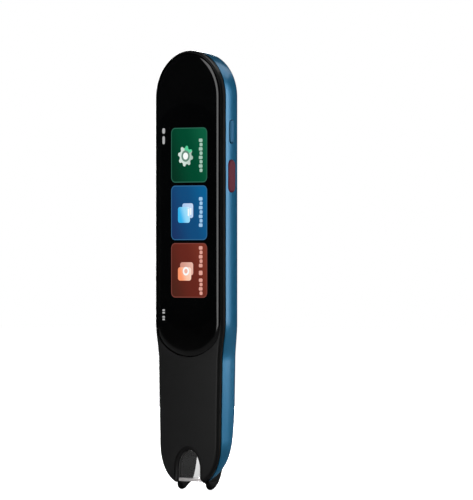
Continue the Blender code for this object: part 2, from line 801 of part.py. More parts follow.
def front_shell(rays, glass):
    """The black frame round the glass, with the flat nose panel and its arch."""
    edge = FRONT_EDGE_RADIUS
    steps = [(edge * (1 - math.sin(a)), edge * (1 - math.cos(a))) for a in (0.0, math.pi / 6, math.pi / 3)]
    steps += [(0.0, edge), (0.0, PARTING_DEPTH), (LIP_INSET, PARTING_DEPTH), (LIP_INSET, LIP_DEPTH)]
    steps += [(LIP_INSET + LIP_WALL, LIP_DEPTH), (LIP_INSET + LIP_WALL, PANEL_THICKNESS)]
    shell = loop_solid("front_shell", flat_rings(rays, steps), black_plastic())

    recess_depth = GLASS_THICKNESS + SEAT_GAP
    recess = flat_rings(glass, [(-GLASS_CLEARANCE, -OVERRUN), (-GLASS_CLEARANCE, recess_depth)])
    cut(shell, loop_solid("glass_recess_cutter", recess, black_plastic()))

    half = DISPLAY_WIDTH / 2 + SEAT_GAP
    bottom = DISPLAY_TOP_DOWN + DISPLAY_LENGTH + SEAT_GAP
    outline = rounded_rectangle(-half, half, DISPLAY_TOP_DOWN - SEAT_GAP, bottom, DISPLAY_CORNER)
    cut(shell, prism("display_cutter", outline, 0.0, LIP_DEPTH + OVERRUN, black_plastic()))

    lip_across = (-WIDTH, WIDTH)
    lip_cutter = block(
        "lip_cutter", lip_across, (LIP_END_DOWN, LENGTH + OVERRUN), (PANEL_THICKNESS, LENGTH), black_plastic()
    )
    cut(shell, lip_cutter)
    arch = []
    for margin, depth in (
        (ARCH_RIM_WIDTH, -OVERRUN),
        (ARCH_RIM_WIDTH, 0.0),
        (0.0, ARCH_RIM_DEPTH),
        (0.0, LIP_DEPTH + OVERRUN),
    ):
        arch.append([(across, down, depth) for across, down in arch_opening(margin)])
    cut(shell, loop_solid("arch_cutter", arch, black_plastic(), mirrored=False))

    for sign in (-1.0, 1.0):
        across = sign * NOSE_SCREW_ACROSS
        depths = (PANEL_THICKNESS - SEAT_GAP, NOSE_FRAME_DEPTH - SEAT_GAP)
        post = disc("nose_post", across, NOSE_SCREW_DOWN, NOSE_POST_DIAMETER, depths, black_plastic())
        join(shell, post)
        hole = SCREW_SHANK_DIAMETER + 2 * SCREW_HOLE_CLEARANCE
        ends = (PANEL_THICKNESS, NOSE_FRAME_DEPTH + OVERRUN)
        cutter = disc("nose_pilot", across, NOSE_SCREW_DOWN, hole, ends, black_plastic(), SMALL_ROUND_SIDES)
        cut(shell, cutter)
    return shell


def back_shell(rays):
    """The blue shell: one wall round the sides and back, with screw posts inside."""
    outer = [back_section(ray, 0.0, 0.0) for ray in rays]
    inner = [back_section(ray, SHELL_WALL, BACK_WALL) for ray in rays]
    number = {ray: i for i, ray in enumerate(rays)}
    loops = []
    for k in reversed(range(len(inner[0]))):
        loops.append(ring(rays, lambda ray, k=k: inner[number[ray]][k]))
    for k in range(len(outer[0])):
        loops.append(ring(rays, lambda ray, k=k: outer[number[ray]][k]))
    shell = loop_solid("back_shell", loops, blue_lacquer())

    frame_back = FRAME_DEPTH + FRAME_THICKNESS
    board_back = BOARD_DEPTH + BOARD_THICKNESS
    nose_board_back = NOSE_BOARD_DEPTH + NOSE_BOARD_THICKNESS
    seats = [(spot, frame_back) for spot in FRAME_SCREW_PLACES]
    seats += [(spot, board_back) for spot in BOARD_SCREW_PLACES]
    seats += [(spot, nose_board_back) for spot in NOSE_BOARD_SCREW_PLACES]
    hole = SCREW_SHANK_DIAMETER + 2 * SCREW_HOLE_CLEARANCE
    for (across, down), seat in seats:
        root = back_surface_depth(across, down, BACK_WALL / 2)
        join(shell, disc("post", across, down, POST_DIAMETER, (seat + SEAT_GAP, root), blue_lacquer()))
        pilot = (seat - OVERRUN, root - BACK_WALL / 2)
        cut(shell, disc("pilot", across, down, hole, pilot, blue_lacquer(), SMALL_ROUND_SIDES))

    cut(shell, prism("notch_cutter", notch_outline(), 0.0, THICKNESS + OVERRUN, blue_lacquer()))

    for down, length, width in (
        (POWER_KEY_DOWN, POWER_KEY_LENGTH, POWER_KEY_WIDTH),
        (FUNCTION_KEY_DOWN, FUNCTION_KEY_LENGTH, FUNCTION_KEY_WIDTH),
    ):
        slot = stadium((down, KEY_DEPTH), length + 2 * KEY_CLEARANCE, width + 2 * KEY_CLEARANCE)
        inside = side_across(down, RIDGE_DEPTH - BACK_WALL, SHELL_WALL) - OVERRUN
        cut(shell, across_prism("key_slot_cutter", slot, inside, WIDTH / 2 + OVERRUN, blue_lacquer()))

    mouth = stadium(
        (PORT_DOWN, PORT_DEPTH), PORT_LENGTH + 2 * PORT_CUT_CLEARANCE, PORT_WIDTH + 2 * PORT_CUT_CLEARANCE
    )
    inside = side_across(PORT_DOWN, RIDGE_DEPTH - BACK_WALL, SHELL_WALL) - OVERRUN
    cut(shell, across_prism("port_mouth_cutter", mouth, -WIDTH / 2 - OVERRUN, -inside, blue_lacquer()))

    outlines = []
    for number_of_ring, radius in enumerate(GRILLE_RADII):
        for i in range(GRILLE_HOLES_PER_RING):
            angle = 2 * math.pi * (i + 0.5 * (number_of_ring % 2)) / GRILLE_HOLES_PER_RING
            across = radius * math.sin(angle)
            down = SPEAKER_DOWN - radius * math.cos(angle)
            outlines.append(disc_outline(across, down, GRILLE_HOLE_DIAMETER, 6))
    shallow = THICKNESS - BACK_WALL - MESH_CLEARANCE
    cut(shell, several("grille_cutter", outlines, shallow, THICKNESS + OVERRUN, blue_lacquer()))
    return shell


def front_glass(glass):
    """The black-printed cover glass, with a curved edge all round."""
    edge = GLASS_EDGE_WIDTH
    rise = GLASS_THICKNESS / 2
    steps = []
    for share in (1.0, 0.6, 0.3, 0.1, 0.0):
        steps.append((edge * share, rise * (1 - share) ** 2))
    steps.append((0.0, GLASS_THICKNESS))
    return loop_solid("front_glass", flat_rings(glass, steps), dark_glass())


def display_module():
    half = DISPLAY_WIDTH / 2
    bottom = DISPLAY_TOP_DOWN + DISPLAY_LENGTH
    outline = rounded_rectangle(-half, half, DISPLAY_TOP_DOWN, bottom, DISPLAY_CORNER)
    start = GLASS_THICKNESS + SEAT_GAP
    return prism("display_module", outline, start, start + DISPLAY_THICKNESS, dark_glass())


# Inner frame


def mid_frame(rays):
    """The steel plate behind the display, with ribs for the battery and seats for the trigger springs."""
    right = []
    for ray in rays:
        reach = ray[3] - FRAME_INSET
        down = ray[0] + ray[2] * reach
        if down < FRAME_END_DOWN:
            right.append((ray[1] * reach, down))
    right.append((half_width(FRAME_END_DOWN) - FRAME_INSET, FRAME_END_DOWN))
    outline = right + [(-across, down) for across, down in reversed(right[1:])]
    back = FRAME_DEPTH + FRAME_THICKNESS
    frame = prism("mid_frame", outline, FRAME_DEPTH, back, sheet_steel())

    hole = SCREW_SHANK_DIAMETER + 2 * SCREW_HOLE_CLEARANCE
    depths = (FRAME_DEPTH - OVERRUN, back + OVERRUN)
    for across, down in FRAME_SCREW_PLACES:
        cut(frame, disc("frame_hole", across, down, hole, depths, sheet_steel(), SMALL_ROUND_SIDES))
    slot_down = around(DISPLAY_RIBBON_TURN_DOWN, FRAME_SLOT_LENGTH)
    cut(frame, block("ribbon_slot_cutter", around(0.0, FRAME_SLOT_WIDTH), slot_down, depths, sheet_steel()))
    port_across = (-WIDTH, -WIDTH / 2 + PORT_RECESS + PORT_BODY_LENGTH + SEAT_GAP)
    port_down = around(PORT_DOWN, PORT_LENGTH + 2 * SEAT_GAP)
    cut(frame, block("port_notch_cutter", port_across, port_down, depths, sheet_steel()))

    for sign in (-1.0, 1.0):
        near = sign * (BATTERY_WIDTH / 2 + SEAT_GAP)
        far = near + sign * CRADLE_RIB
        rib_across = (min(near, far), max(near, far))
        rib_down = (BATTERY_TOP_DOWN + BATTERY_EDGE, BATTERY_TOP_DOWN + BATTERY_LENGTH - BATTERY_EDGE)
        rib_depth = (back - FRAME_THICKNESS / 2, back + CRADLE_RIB_HEIGHT)
        join(frame, block("cradle_rib", rib_across, rib_down, rib_depth, sheet_steel()))
        seat_across = around(sign * SPRING_ACROSS, SPRING_SEAT_WIDTH)
        seat_depth = (back - FRAME_THICKNESS / 2, back + SPRING_SEAT_HEIGHT)
        join(frame, block("spring_seat", seat_across, spring_seat_downs(), seat_depth, sheet_steel()))
    return frame


def spring_seat_downs():
    """Where the seat of a trigger spring starts and ends along the pen."""
    end = FRAME_END_DOWN - SEAT_GAP
    return (end - SPRING_SEAT_THICKNESS, end)


# Electronics


def main_board():
    half = BOARD_WIDTH / 2
    bottom = BOARD_TOP_DOWN + BOARD_LENGTH
    outline = rounded_rectangle(-half, half, BOARD_TOP_DOWN, bottom, CONNECTOR_HEIGHT)
    board = prism("main_board", outline, BOARD_DEPTH, BOARD_DEPTH + BOARD_THICKNESS, board_green())
    hole = SCREW_SHANK_DIAMETER + 2 * SCREW_HOLE_CLEARANCE
    depths = (BOARD_DEPTH - OVERRUN, BOARD_DEPTH + BOARD_THICKNESS + OVERRUN)
    for across, down in BOARD_SCREW_PLACES:
        cut(board, disc("board_hole", across, down, hole, depths, board_green(), SMALL_ROUND_SIDES))
    return board


def on_board(name, across, down, size, height, look, edge=0.0):
    """A component on the front of the main board: size is (across, along)."""
    top = BOARD_DEPTH - SEAT_GAP
    return block(name, around(across, size[0]), around(down, size[1]), (top - height, top), look, edge)


def shield_can():
    """A folded steel lid, open towards the board, over the processor and its memory."""
    top = BOARD_DEPTH - SEAT_GAP
    can_size = (CAN_WIDTH, CAN_LENGTH)
    can = on_board("shield_can", 0.0, CAN_DOWN, can_size, CAN_HEIGHT, sheet_steel(), CAN_WALL / 2)
    inside_across = around(0.0, CAN_WIDTH - 2 * CAN_WALL)
    inside_down = around(CAN_DOWN, CAN_LENGTH - 2 * CAN_WALL)
    inside_depth = (top - CAN_HEIGHT + CAN_WALL, top + OVERRUN)
    cut(can, block("can_inside_cutter", inside_across, inside_down, inside_depth, sheet_steel()))


def chips():
    """The processor and memory under the can, and the microphone beside it."""
    pair = PROCESSOR_SIDE + CHIP_SPACE + MEMORY_WIDTH
    left = -pair / 2
    processor_size = (PROCESSOR_SIDE, PROCESSOR_SIDE)
    on_board("processor", left + PROCESSOR_SIDE / 2, CAN_DOWN, processor_size, CHIP_HEIGHT, chip_black())
    memory_size = (MEMORY_WIDTH, MEMORY_LENGTH)
    on_board("memory_chip", left + pair - MEMORY_WIDTH / 2, CAN_DOWN, memory_size, CHIP_HEIGHT, chip_black())
    can_size = (MICROPHONE_LENGTH, MICROPHONE_WIDTH)
    on_board("microphone", MICROPHONE_ACROSS, MICROPHONE_DOWN, can_size, MICROPHONE_HEIGHT, sheet_steel())


def connectors():
    """The sockets for the display, the camera and the battery."""
    size = (CONNECTOR_WIDTH, CONNECTOR_LENGTH)
    on_board("display_connector", 0.0, DISPLAY_CONNECTOR_DOWN, size, CONNECTOR_HEIGHT, chip_black())
    back = BOARD_DEPTH + BOARD_THICKNESS + SEAT_GAP
    block(
        "camera_connector",
        around(0.0, CAMERA_CONNECTOR_WIDTH),
        around(CAMERA_CONNECTOR_DOWN, CONNECTOR_LENGTH),
        (back, back + CONNECTOR_HEIGHT),
        chip_black(),
    )
    size = (BATTERY_CONNECTOR_WIDTH, BATTERY_CONNECTOR_LENGTH)
    height = BATTERY_CONNECTOR_HEIGHT
    on_board("battery_connector", BATTERY_CONNECTOR_ACROSS, BATTERY_CONNECTOR_DOWN, size, height, chip_black())


def ribbons():
    """The flat cables of the display and the camera."""
    front = FRAME_DEPTH - RIBBON_CLEARANCE - RIBBON_THICKNESS
    rear = BOARD_DEPTH - SEAT_GAP - CONNECTOR_HEIGHT - SEAT_GAP - RIBBON_THICKNESS
    turn = DISPLAY_RIBBON_TURN_DOWN
    thick = RIBBON_THICKNESS
    profile = [
        (front, DISPLAY_RIBBON_START_DOWN),
        (front, turn - thick),
        (rear, turn - thick),
        (rear, DISPLAY_CONNECTOR_DOWN - CONNECTOR_LENGTH / 2),
        (rear + thick, DISPLAY_CONNECTOR_DOWN - CONNECTOR_LENGTH / 2),
        (rear + thick, turn),
        (front + thick, turn),
        (front + thick, DISPLAY_RIBBON_START_DOWN),
    ]
    half = DISPLAY_RIBBON_WIDTH / 2
    side_prism("display_ribbon", profile, -half, half, amber_film())
    block(
        "camera_ribbon",
        around(0.0, CAMERA_RIBBON_WIDTH),
        (CAMERA_CONNECTOR_DOWN - CONNECTOR_LENGTH / 2, CAMERA_TOP_DOWN - SEAT_GAP),
        (CAMERA_RIBBON_DEPTH, CAMERA_RIBBON_DEPTH + RIBBON_THICKNESS),
        amber_film(),
    )


def antenna():
    start = FRAME_DEPTH + FRAME_THICKNESS + SEAT_GAP
    depths = (start, start + ANTENNA_THICKNESS)
    block("antenna", around(0.0, ANTENNA_WIDTH), around(ANTENNA_DOWN, ANTENNA_LENGTH), depths, amber_film())


def battery():
    """The pouch cell on its foam pad, and its two leads."""
    pad_start = FRAME_DEPTH + FRAME_THICKNESS + SEAT_GAP
    cell_start = pad_start + BATTERY_PAD_THICKNESS + SEAT_GAP
    downs = (BATTERY_TOP_DOWN, BATTERY_TOP_DOWN + BATTERY_LENGTH)
    pad_across = around(0.0, BATTERY_WIDTH - 2 * BATTERY_EDGE)
    pad_downs = (downs[0] + BATTERY_EDGE, downs[1] - BATTERY_EDGE)
    block("battery_pad", pad_across, pad_downs, (pad_start, pad_start + BATTERY_PAD_THICKNESS), grey_foam())
    depths = (cell_start, cell_start + BATTERY_THICKNESS)
    block("battery", around(0.0, BATTERY_WIDTH), downs, depths, pouch_foil(), BATTERY_EDGE)

    lead_depth = BOARD_DEPTH - SEAT_GAP - BATTERY_CONNECTOR_HEIGHT / 2
    start = BATTERY_CONNECTOR_DOWN + BATTERY_CONNECTOR_LENGTH / 2 + SEAT_GAP
    end = BATTERY_TOP_DOWN - SEAT_GAP
    for name, sign in (("battery_lead_positive", -1.0), ("battery_lead_negative", 1.0)):
        across = BATTERY_CONNECTOR_ACROSS + sign * LEAD_PITCH / 2
        loops = []
        for i in range(5):
            share = i / 4
            bow = LEAD_SAG * math.sin(math.pi * share)
            ring_points = disc_outline(across, lead_depth + bow, LEAD_DIAMETER, 8)
            loops.append([(x, mix(start, end, share), y) for x, y in ring_points])
        look = red_plastic() if sign < 0 else chip_black()
        loop_solid(name, loops, look, mirrored=False)


def charging_port():
    """The steel tube of the port and the tongue inside it."""
    outer_end = -WIDTH / 2 + PORT_RECESS
    inner_end = outer_end + PORT_BODY_LENGTH
    middle = (PORT_DOWN, PORT_DEPTH)
    outline = stadium(middle, PORT_LENGTH, PORT_WIDTH)
    tube = across_prism("port_shell", outline, outer_end, inner_end, sheet_steel())
    inside_length = PORT_LENGTH - 2 * PORT_SHELL_WALL
    inside_width = PORT_WIDTH - 2 * PORT_SHELL_WALL
    bore = stadium(middle, inside_length, inside_width)
    cut(tube, across_prism("port_bore_cutter", bore, outer_end - OVERRUN, inner_end + OVERRUN, sheet_steel()))

    base_outline = stadium(middle, inside_length - 2 * SEAT_GAP, inside_width - 2 * SEAT_GAP)
    base_start = inner_end - PORT_BACK_THICKNESS
    tongue = across_prism("port_tongue", base_outline, base_start, inner_end, chip_black())
    blade = block(
        "tongue_blade",
        (base_start - TONGUE_LENGTH, base_start + PORT_BACK_THICKNESS / 2),
        around(PORT_DOWN, TONGUE_WIDTH),
        around(PORT_DEPTH, TONGUE_THICKNESS),
        chip_black(),
    )
    join(tongue, blade)


# Side keys


def side_key(name, down, length, width, look, switch_name):
    """A key that slides in its slot, held in by a flange, and the switch that it presses."""
    outer = side_across(down, KEY_DEPTH, 0.0) + WALL_BOW + KEY_PROUD
    flange_outer = side_across(down, KEY_DEPTH + KEY_FLANGE_WIDTH / 2, SHELL_WALL) - SEAT_GAP
    flange_inner = flange_outer - KEY_FLANGE_THICKNESS
    nub_end = flange_inner - KEY_NUB_LENGTH
    middle = (down, KEY_DEPTH)
    loops = []
    for across, narrower in ((flange_inner, 0.0), (outer - KEY_EDGE, 0.0), (outer, 2 * KEY_EDGE)):
        outline = stadium(middle, length - narrower, width - narrower)
        loops.append([(across, along, depth) for along, depth in outline])
    key = loop_solid(name, loops, look, mirrored=False)
    flange_downs = around(down, length + 2 * KEY_FLANGE_REACH)
    flange_depths = around(KEY_DEPTH, KEY_FLANGE_WIDTH)
    join(key, block(name + "_flange", (flange_inner, flange_outer), flange_downs, flange_depths, look))
    nub_across = (nub_end, flange_inner + KEY_FLANGE_THICKNESS / 2)
    nub = block(name + "_nub", nub_across, around(down, KEY_NUB_WIDTH), around(KEY_DEPTH, KEY_NUB_WIDTH), look)
    join(key, nub)

    plunger_end = nub_end - KEY_TRAVEL - CONTACT_CLEARANCE
    body_outer = plunger_end - SWITCH_PLUNGER_LENGTH
    depths = (FRAME_DEPTH + FRAME_THICKNESS + SEAT_GAP, BOARD_DEPTH - SEAT_GAP)
    body_across = (body_outer - SWITCH_BODY_WIDTH, body_outer)
    switch = block(switch_name, body_across, around(down, SWITCH_LENGTH), depths, sheet_steel())
    plunger = block(
        switch_name + "_plunger",
        (body_outer - SWITCH_PLUNGER_LENGTH, plunger_end),
        around(down, SWITCH_PLUNGER_WIDTH),
        around(KEY_DEPTH, SWITCH_PLUNGER_WIDTH / 2),
        sheet_steel(),
    )
    join(switch, plunger)


# Speaker


def speaker():
    """The speaker, its foam gasket and the dust mesh behind the ring of holes."""
    inside = THICKNESS - BACK_WALL
    mesh_back = inside - MESH_CLEARANCE
    depths = (mesh_back - MESH_THICKNESS, mesh_back)
    disc("speaker_mesh", 0.0, SPEAKER_DOWN, MESH_DIAMETER, depths, sheet_steel())
    inner_diameter = MESH_DIAMETER + 2 * SEAT_GAP
    outer_diameter = inner_diameter + 2 * GASKET_RIM
    gasket_back = back_surface_depth(outer_diameter / 2, WIDTH, BACK_WALL) - SEAT_GAP
    gasket_front = gasket_back - GASKET_THICKNESS
    gasket = disc("speaker_gasket", 0.0, SPEAKER_DOWN, outer_diameter, (gasket_front, gasket_back), grey_foam())
    bore_depths = (gasket_front - OVERRUN, gasket_back + OVERRUN)
    cut(gasket, disc("gasket_bore_cutter", 0.0, SPEAKER_DOWN, inner_diameter, bore_depths, grey_foam()))
    face = gasket_front - SEAT_GAP
    rim = face - SPEAKER_THICKNESS
    body = disc("speaker", 0.0, SPEAKER_DOWN, outer_diameter, (rim, face), chip_black())
    magnet_depths = (rim - MAGNET_THICKNESS, rim + MAGNET_THICKNESS)
    join(body, disc("speaker_magnet", 0.0, SPEAKER_DOWN, MAGNET_DIAMETER, magnet_depths, sheet_steel()))


# Scanning nose


def hood_down(depth):
    """Where the sloping roof of the nose cavity is at a depth."""
    share = (depth - NOSE_FRAME_DEPTH) / (HOOD_BACK_DEPTH - NOSE_FRAME_DEPTH)
    return mix(HOOD_FRONT_DOWN, HOOD_BACK_DOWN, share)


def nose_frame():
    """The black bracket of the nose: a plate screwed to the front shell, a sloping roof and two cheeks."""
    half = NOSE_FRAME_WIDTH / 2
    plate_back = NOSE_FRAME_DEPTH + NOSE_FRAME_WALL
    profile = [
        (NOSE_FRAME_DEPTH, NOSE_FRAME_TOP_DOWN),
        (plate_back, NOSE_FRAME_TOP_DOWN),
        (plate_back, hood_down(plate_back) - HOOD_THICKNESS),
        (HOOD_BACK_DEPTH, HOOD_BACK_DOWN - HOOD_THICKNESS),
        (HOOD_BACK_DEPTH, HOOD_BACK_DOWN),
        (NOSE_FRAME_DEPTH, HOOD_FRONT_DOWN),
    ]
    frame = side_prism("nose_frame", profile, -half, half, black_plastic())
    lift = HOOD_THICKNESS / 2
    cheek = [
        (plate_back, hood_down(plate_back) - lift),
        (HOOD_BACK_DEPTH, HOOD_BACK_DOWN - lift),
        (HOOD_BACK_DEPTH, hood_down(plate_back) - CHEEK_STEP),
        (plate_back, hood_down(plate_back) - CHEEK_STEP),
    ]
    for left in (-half, half - NOSE_SIDE_WALL):
        join(frame, side_prism("cheek", cheek, left, left + NOSE_SIDE_WALL, black_plastic()))
    aperture = BARREL_DIAMETER + 2 * HOOD_CLEARANCE
    downs = (CAMERA_TOP_DOWN, HOOD_FRONT_DOWN)
    cut(frame, rod("barrel_hole_cutter", 0.0, BARREL_DEPTH, aperture, downs, black_plastic()))
    hole = SCREW_SHANK_DIAMETER + 2 * SCREW_HOLE_CLEARANCE
    depths = (NOSE_FRAME_DEPTH - OVERRUN, plate_back + OVERRUN)
    for across in (-NOSE_SCREW_ACROSS, NOSE_SCREW_ACROSS):
        cut(frame, disc("nose_hole", across, NOSE_SCREW_DOWN, hole, depths, black_plastic(), SMALL_ROUND_SIDES))
    return frame


def camera():
    """The camera block, its barrel and lens, and a light on each side of it."""
    front = NOSE_FRAME_DEPTH + NOSE_FRAME_WALL + SEAT_GAP
    bottom = CAMERA_TOP_DOWN + CAMERA_LENGTH
    depths = (front, front + CAMERA_DEPTH_SIZE)
    block("camera_module", around(0.0, CAMERA_WIDTH), (CAMERA_TOP_DOWN, bottom), depths, chip_black(), SEAT_GAP)
    start = bottom + SEAT_GAP
    end = start + BARREL_LENGTH
    rod("camera_barrel", 0.0, BARREL_DEPTH, BARREL_DIAMETER, (start, end), chip_black())
    crown = end + SEAT_GAP
    loops = []
    for share in (0.0, 0.35, 0.7, 0.9):
        diameter = LENS_DIAMETER * math.sqrt(1.0 - share**2)
        points = disc_outline(0.0, BARREL_DEPTH, diameter, SMALL_ROUND_SIDES)
        loops.append([(x, crown + LENS_THICKNESS * share, y) for x, y in points])
    loop_solid("camera_lens", loops, dark_glass(), mirrored=False)
    for name, across in (("light_left", -LED_ACROSS), ("light_right", LED_ACROSS)):
        top = hood_down(LED_DEPTH - LED_DEPTH_SIZE / 2) + SEAT_GAP
        led_depths = around(LED_DEPTH, LED_DEPTH_SIZE)
        block(name, around(across, LED_WIDTH), (top, top + LED_HEIGHT), led_depths, clear_plastic())


def nose_window():
    """The clear plate across the arch, through which the print is seen."""
    outline = arch_outline(-SEAT_GAP, WINDOW_BOTTOM_DOWN)
    return prism("nose_window", outline, WINDOW_DEPTH, WINDOW_DEPTH + WINDOW_THICKNESS, clear_plastic())


def foot_loops(across):
    """The rounded foot of a leg: squarish ellipses that shrink towards the tip."""
    loops = []
    for share, (up, front, back) in zip(FOOT_WIDTH_SHARES, FOOT_LINE):
        loop = []
        for i in range(16):
            angle = 2 * math.pi * (i + 0.5) / 16
            out, along = math.cos(angle), math.sin(angle)
            out = math.copysign(abs(out) ** (2 / FOOT_ROUND_POWER), out)
            along = math.copysign(abs(along) ** (2 / FOOT_ROUND_POWER), along)
            depth = (front + back) / 2 + (back - front) / 2 * along
            loop.append((across + FOOT_WIDTH / 2 * share * out, LENGTH - up, depth))
        loops.append(loop)
    return loops


def scan_fork():
    """The sliding fork: two flat legs that end in round feet, tied by a bridge above the camera."""
    pivot = bpy.data.objects.new("scan_fork_slide", None)
    pivot.location = place(0.0, LENGTH, THICKNESS / 2)
    bpy.context.scene.collection.objects.link(pivot)
    arm_outer = ARM_ACROSS + ARM_THICKNESS
    arm_depths = (ARM_DEPTH, ARM_DEPTH + ARM_DEPTH_SIZE)
    bridge_downs = (BRIDGE_DOWN, BRIDGE_DOWN + BRIDGE_THICKNESS)
    fork = block("scan_fork", (-arm_outer, arm_outer), bridge_downs, arm_depths, black_plastic())

    leg = [(FORK_FRONT_DEPTH, FORK_TOP_DOWN)]
    for i in range(4):
        angle = math.pi / 2 * i / 3
        depth = FORK_BACK_DEPTH - FORK_CORNER * (1 - math.sin(angle))
        leg.append((depth, FORK_TOP_DOWN + FORK_CORNER * (1 - math.cos(angle))))
    leg += [(depth, LENGTH - up) for up, depth in FORK_BACK_LINE]
    for sign in (-1.0, 1.0):
        faces = sorted((sign * FORK_LEG_ACROSS, sign * (FORK_LEG_ACROSS + FORK_LEG_THICKNESS)))
        join(fork, side_prism("fork_leg", leg, faces[0], faces[1], black_plastic()))
        flange_across = sorted((sign * (FORK_LEG_ACROSS + SEAT_GAP), sign * FORK_FLANGE_OUTER))
        flange_downs = (FORK_TOP_DOWN + SEAT_GAP, LENGTH - FORK_FLANGE_BOTTOM_UP)
        flange_depths = (FORK_FRONT_DEPTH + CONTACT_CLEARANCE, FORK_FLANGE_BACK_DEPTH)
        join(fork, block("fork_flange", flange_across, flange_downs, flange_depths, black_plastic()))
        arm_across = sorted((sign * ARM_ACROSS, sign * arm_outer))
        arm_downs = (BRIDGE_DOWN + BRIDGE_THICKNESS / 2, ARM_END_DOWN)
        join(fork, block("fork_arm", arm_across, arm_downs, arm_depths, black_plastic()))
        join(fork, loop_solid("foot", foot_loops(sign * FOOT_ACROSS), black_plastic(), mirrored=False))
    fork.parent = pivot
    fork.matrix_parent_inverse = pivot.matrix_world.inverted()
    return fork


def trigger_parts():
    """The two return springs above the fork, and the switch that it presses with its board."""
    start = spring_seat_downs()[1] + SEAT_GAP
    end = BRIDGE_DOWN - SEAT_GAP
    radius = (SPRING_DIAMETER - SPRING_WIRE) / 2
    for name, across in (("trigger_spring_left", -SPRING_ACROSS), ("trigger_spring_right", SPRING_ACROSS)):
        steps = SPRING_TURNS * 10
        loops = []
        for i in range(steps + 1):
            angle = 2 * math.pi * i / 10
            down = mix(start + SPRING_WIRE / 2, end - SPRING_WIRE / 2, i / steps)
            loop = []
            for j in range(5):
                side = 2 * math.pi * j / 5
                reach = radius + SPRING_WIRE / 2 * math.cos(side)
                across_point = across + reach * math.cos(angle)
                depth_point = SPRING_DEPTH + reach * math.sin(angle)
                loop.append((across_point, down + SPRING_WIRE / 2 * math.sin(side), depth_point))
            loops.append(loop)
        loop_solid(name, loops, steel_wire(), mirrored=False)

    outline = rounded_rectangle(
        -NOSE_BOARD_WIDTH / 2,
        NOSE_BOARD_WIDTH / 2,
        NOSE_BOARD_DOWN,
        NOSE_BOARD_DOWN + NOSE_BOARD_LENGTH,
        CONNECTOR_HEIGHT,
    )
    depths = (NOSE_BOARD_DEPTH, NOSE_BOARD_DEPTH + NOSE_BOARD_THICKNESS)
    board = prism("nose_board", outline, depths[0], depths[1], board_green())
    hole = SCREW_SHANK_DIAMETER + 2 * SCREW_HOLE_CLEARANCE
    through = (depths[0] - OVERRUN, depths[1] + OVERRUN)
    for across, down in NOSE_BOARD_SCREW_PLACES:
        cut(board, disc("nose_board_hole", across, down, hole, through, board_green(), SMALL_ROUND_SIDES))

    plunger_end = BRIDGE_DOWN - FORK_TRAVEL - CONTACT_CLEARANCE
    body_end = plunger_end - SWITCH_PLUNGER_LENGTH
    body_depth = NOSE_BOARD_DEPTH - SEAT_GAP
    middle_depth = ARM_DEPTH + ARM_DEPTH_SIZE / 2
    switch = block(
        "trigger_switch",
        around(0.0, SWITCH_LENGTH),
        (body_end - SWITCH_BODY_WIDTH, body_end),
        (middle_depth - SWITCH_PLUNGER_WIDTH, body_depth),
        sheet_steel(),
    )
    plunger = block(
        "trigger_switch_plunger",
        around(0.0, SWITCH_PLUNGER_WIDTH),
        (body_end - SWITCH_PLUNGER_LENGTH, plunger_end),
        around(middle_depth, SWITCH_PLUNGER_WIDTH / 2),
        sheet_steel(),
    )
    join(switch, plunger)


# Screws


def screw(name, across, down, seat, reach, towards_back):
    """A pan-head screw: its head rests on a seat depth and its shank points to the back or the front."""
    sign = 1.0 if towards_back else -1.0
    under_head = seat - sign * SEAT_GAP
    head_depths = sorted((under_head, under_head - sign * SCREW_HEAD_HEIGHT))
    item = disc(name, across, down, SCREW_HEAD_DIAMETER, head_depths, steel_wire(), SMALL_ROUND_SIDES)
    ends = sorted((under_head - sign * SCREW_HEAD_HEIGHT / 2, under_head + sign * reach))
    shank_name = name + "_shank"
    shank = disc(shank_name, across, down, SCREW_SHANK_DIAMETER, ends, steel_wire(), SMALL_ROUND_SIDES)
    join(item, shank)
    return item


def screws():
    """All the screws, each an object of its own."""
    for i, (across, down) in enumerate(FRAME_SCREW_PLACES, start=1):
        screw(f"frame_screw_{i}", across, down, FRAME_DEPTH, SCREW_SHANK_LENGTH, True)
    for i, (across, down) in enumerate(BOARD_SCREW_PLACES, start=1):
        screw(f"board_screw_{i}", across, down, BOARD_DEPTH, BOARD_SCREW_LENGTH, True)
    for i, (across, down) in enumerate(NOSE_BOARD_SCREW_PLACES, start=1):
        screw(f"nose_board_screw_{i}", across, down, NOSE_BOARD_DEPTH, NOSE_SCREW_LENGTH, True)
    back_of_plate = NOSE_FRAME_DEPTH + NOSE_FRAME_WALL
    for i, across in enumerate((-NOSE_SCREW_ACROSS, NOSE_SCREW_ACROSS), start=1):
        screw(f"nose_screw_{i}", across, NOSE_SCREW_DOWN, back_of_plate, NOSE_SCREW_LENGTH, False)


def build():
    """Make every piece of the pen."""
    clear_scene()
    rays = casing_rays()
    glass = glass_rays()
    front_shell(rays, glass)
    back_shell(rays)
    front_glass(glass)
    display_module()
    mid_frame(rays)
    main_board()
    shield_can()
    chips()
    connectors()
    ribbons()
    antenna()
    battery()
    charging_port()
    power_size = (POWER_KEY_LENGTH, POWER_KEY_WIDTH)
    side_key("power_key", POWER_KEY_DOWN, *power_size, blue_lacquer(), "power_switch")
    function_size = (FUNCTION_KEY_LENGTH, FUNCTION_KEY_WIDTH)
    side_key("function_key", FUNCTION_KEY_DOWN, *function_size, red_plastic(), "function_switch")
    speaker()
    nose_frame()
    camera()
    nose_window()
    scan_fork()
    trigger_parts()
    screws()


build()
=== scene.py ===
# %% [markdown]
# # A hand-held scanning pen, dressed for the studio
# The pen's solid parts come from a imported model, which is loaded first and never moved. What follows
# lays finer surfaces over its casing, glass, keys and scanning nose, and gives every part the finish
# that the real one has.

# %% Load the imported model
import json
import math

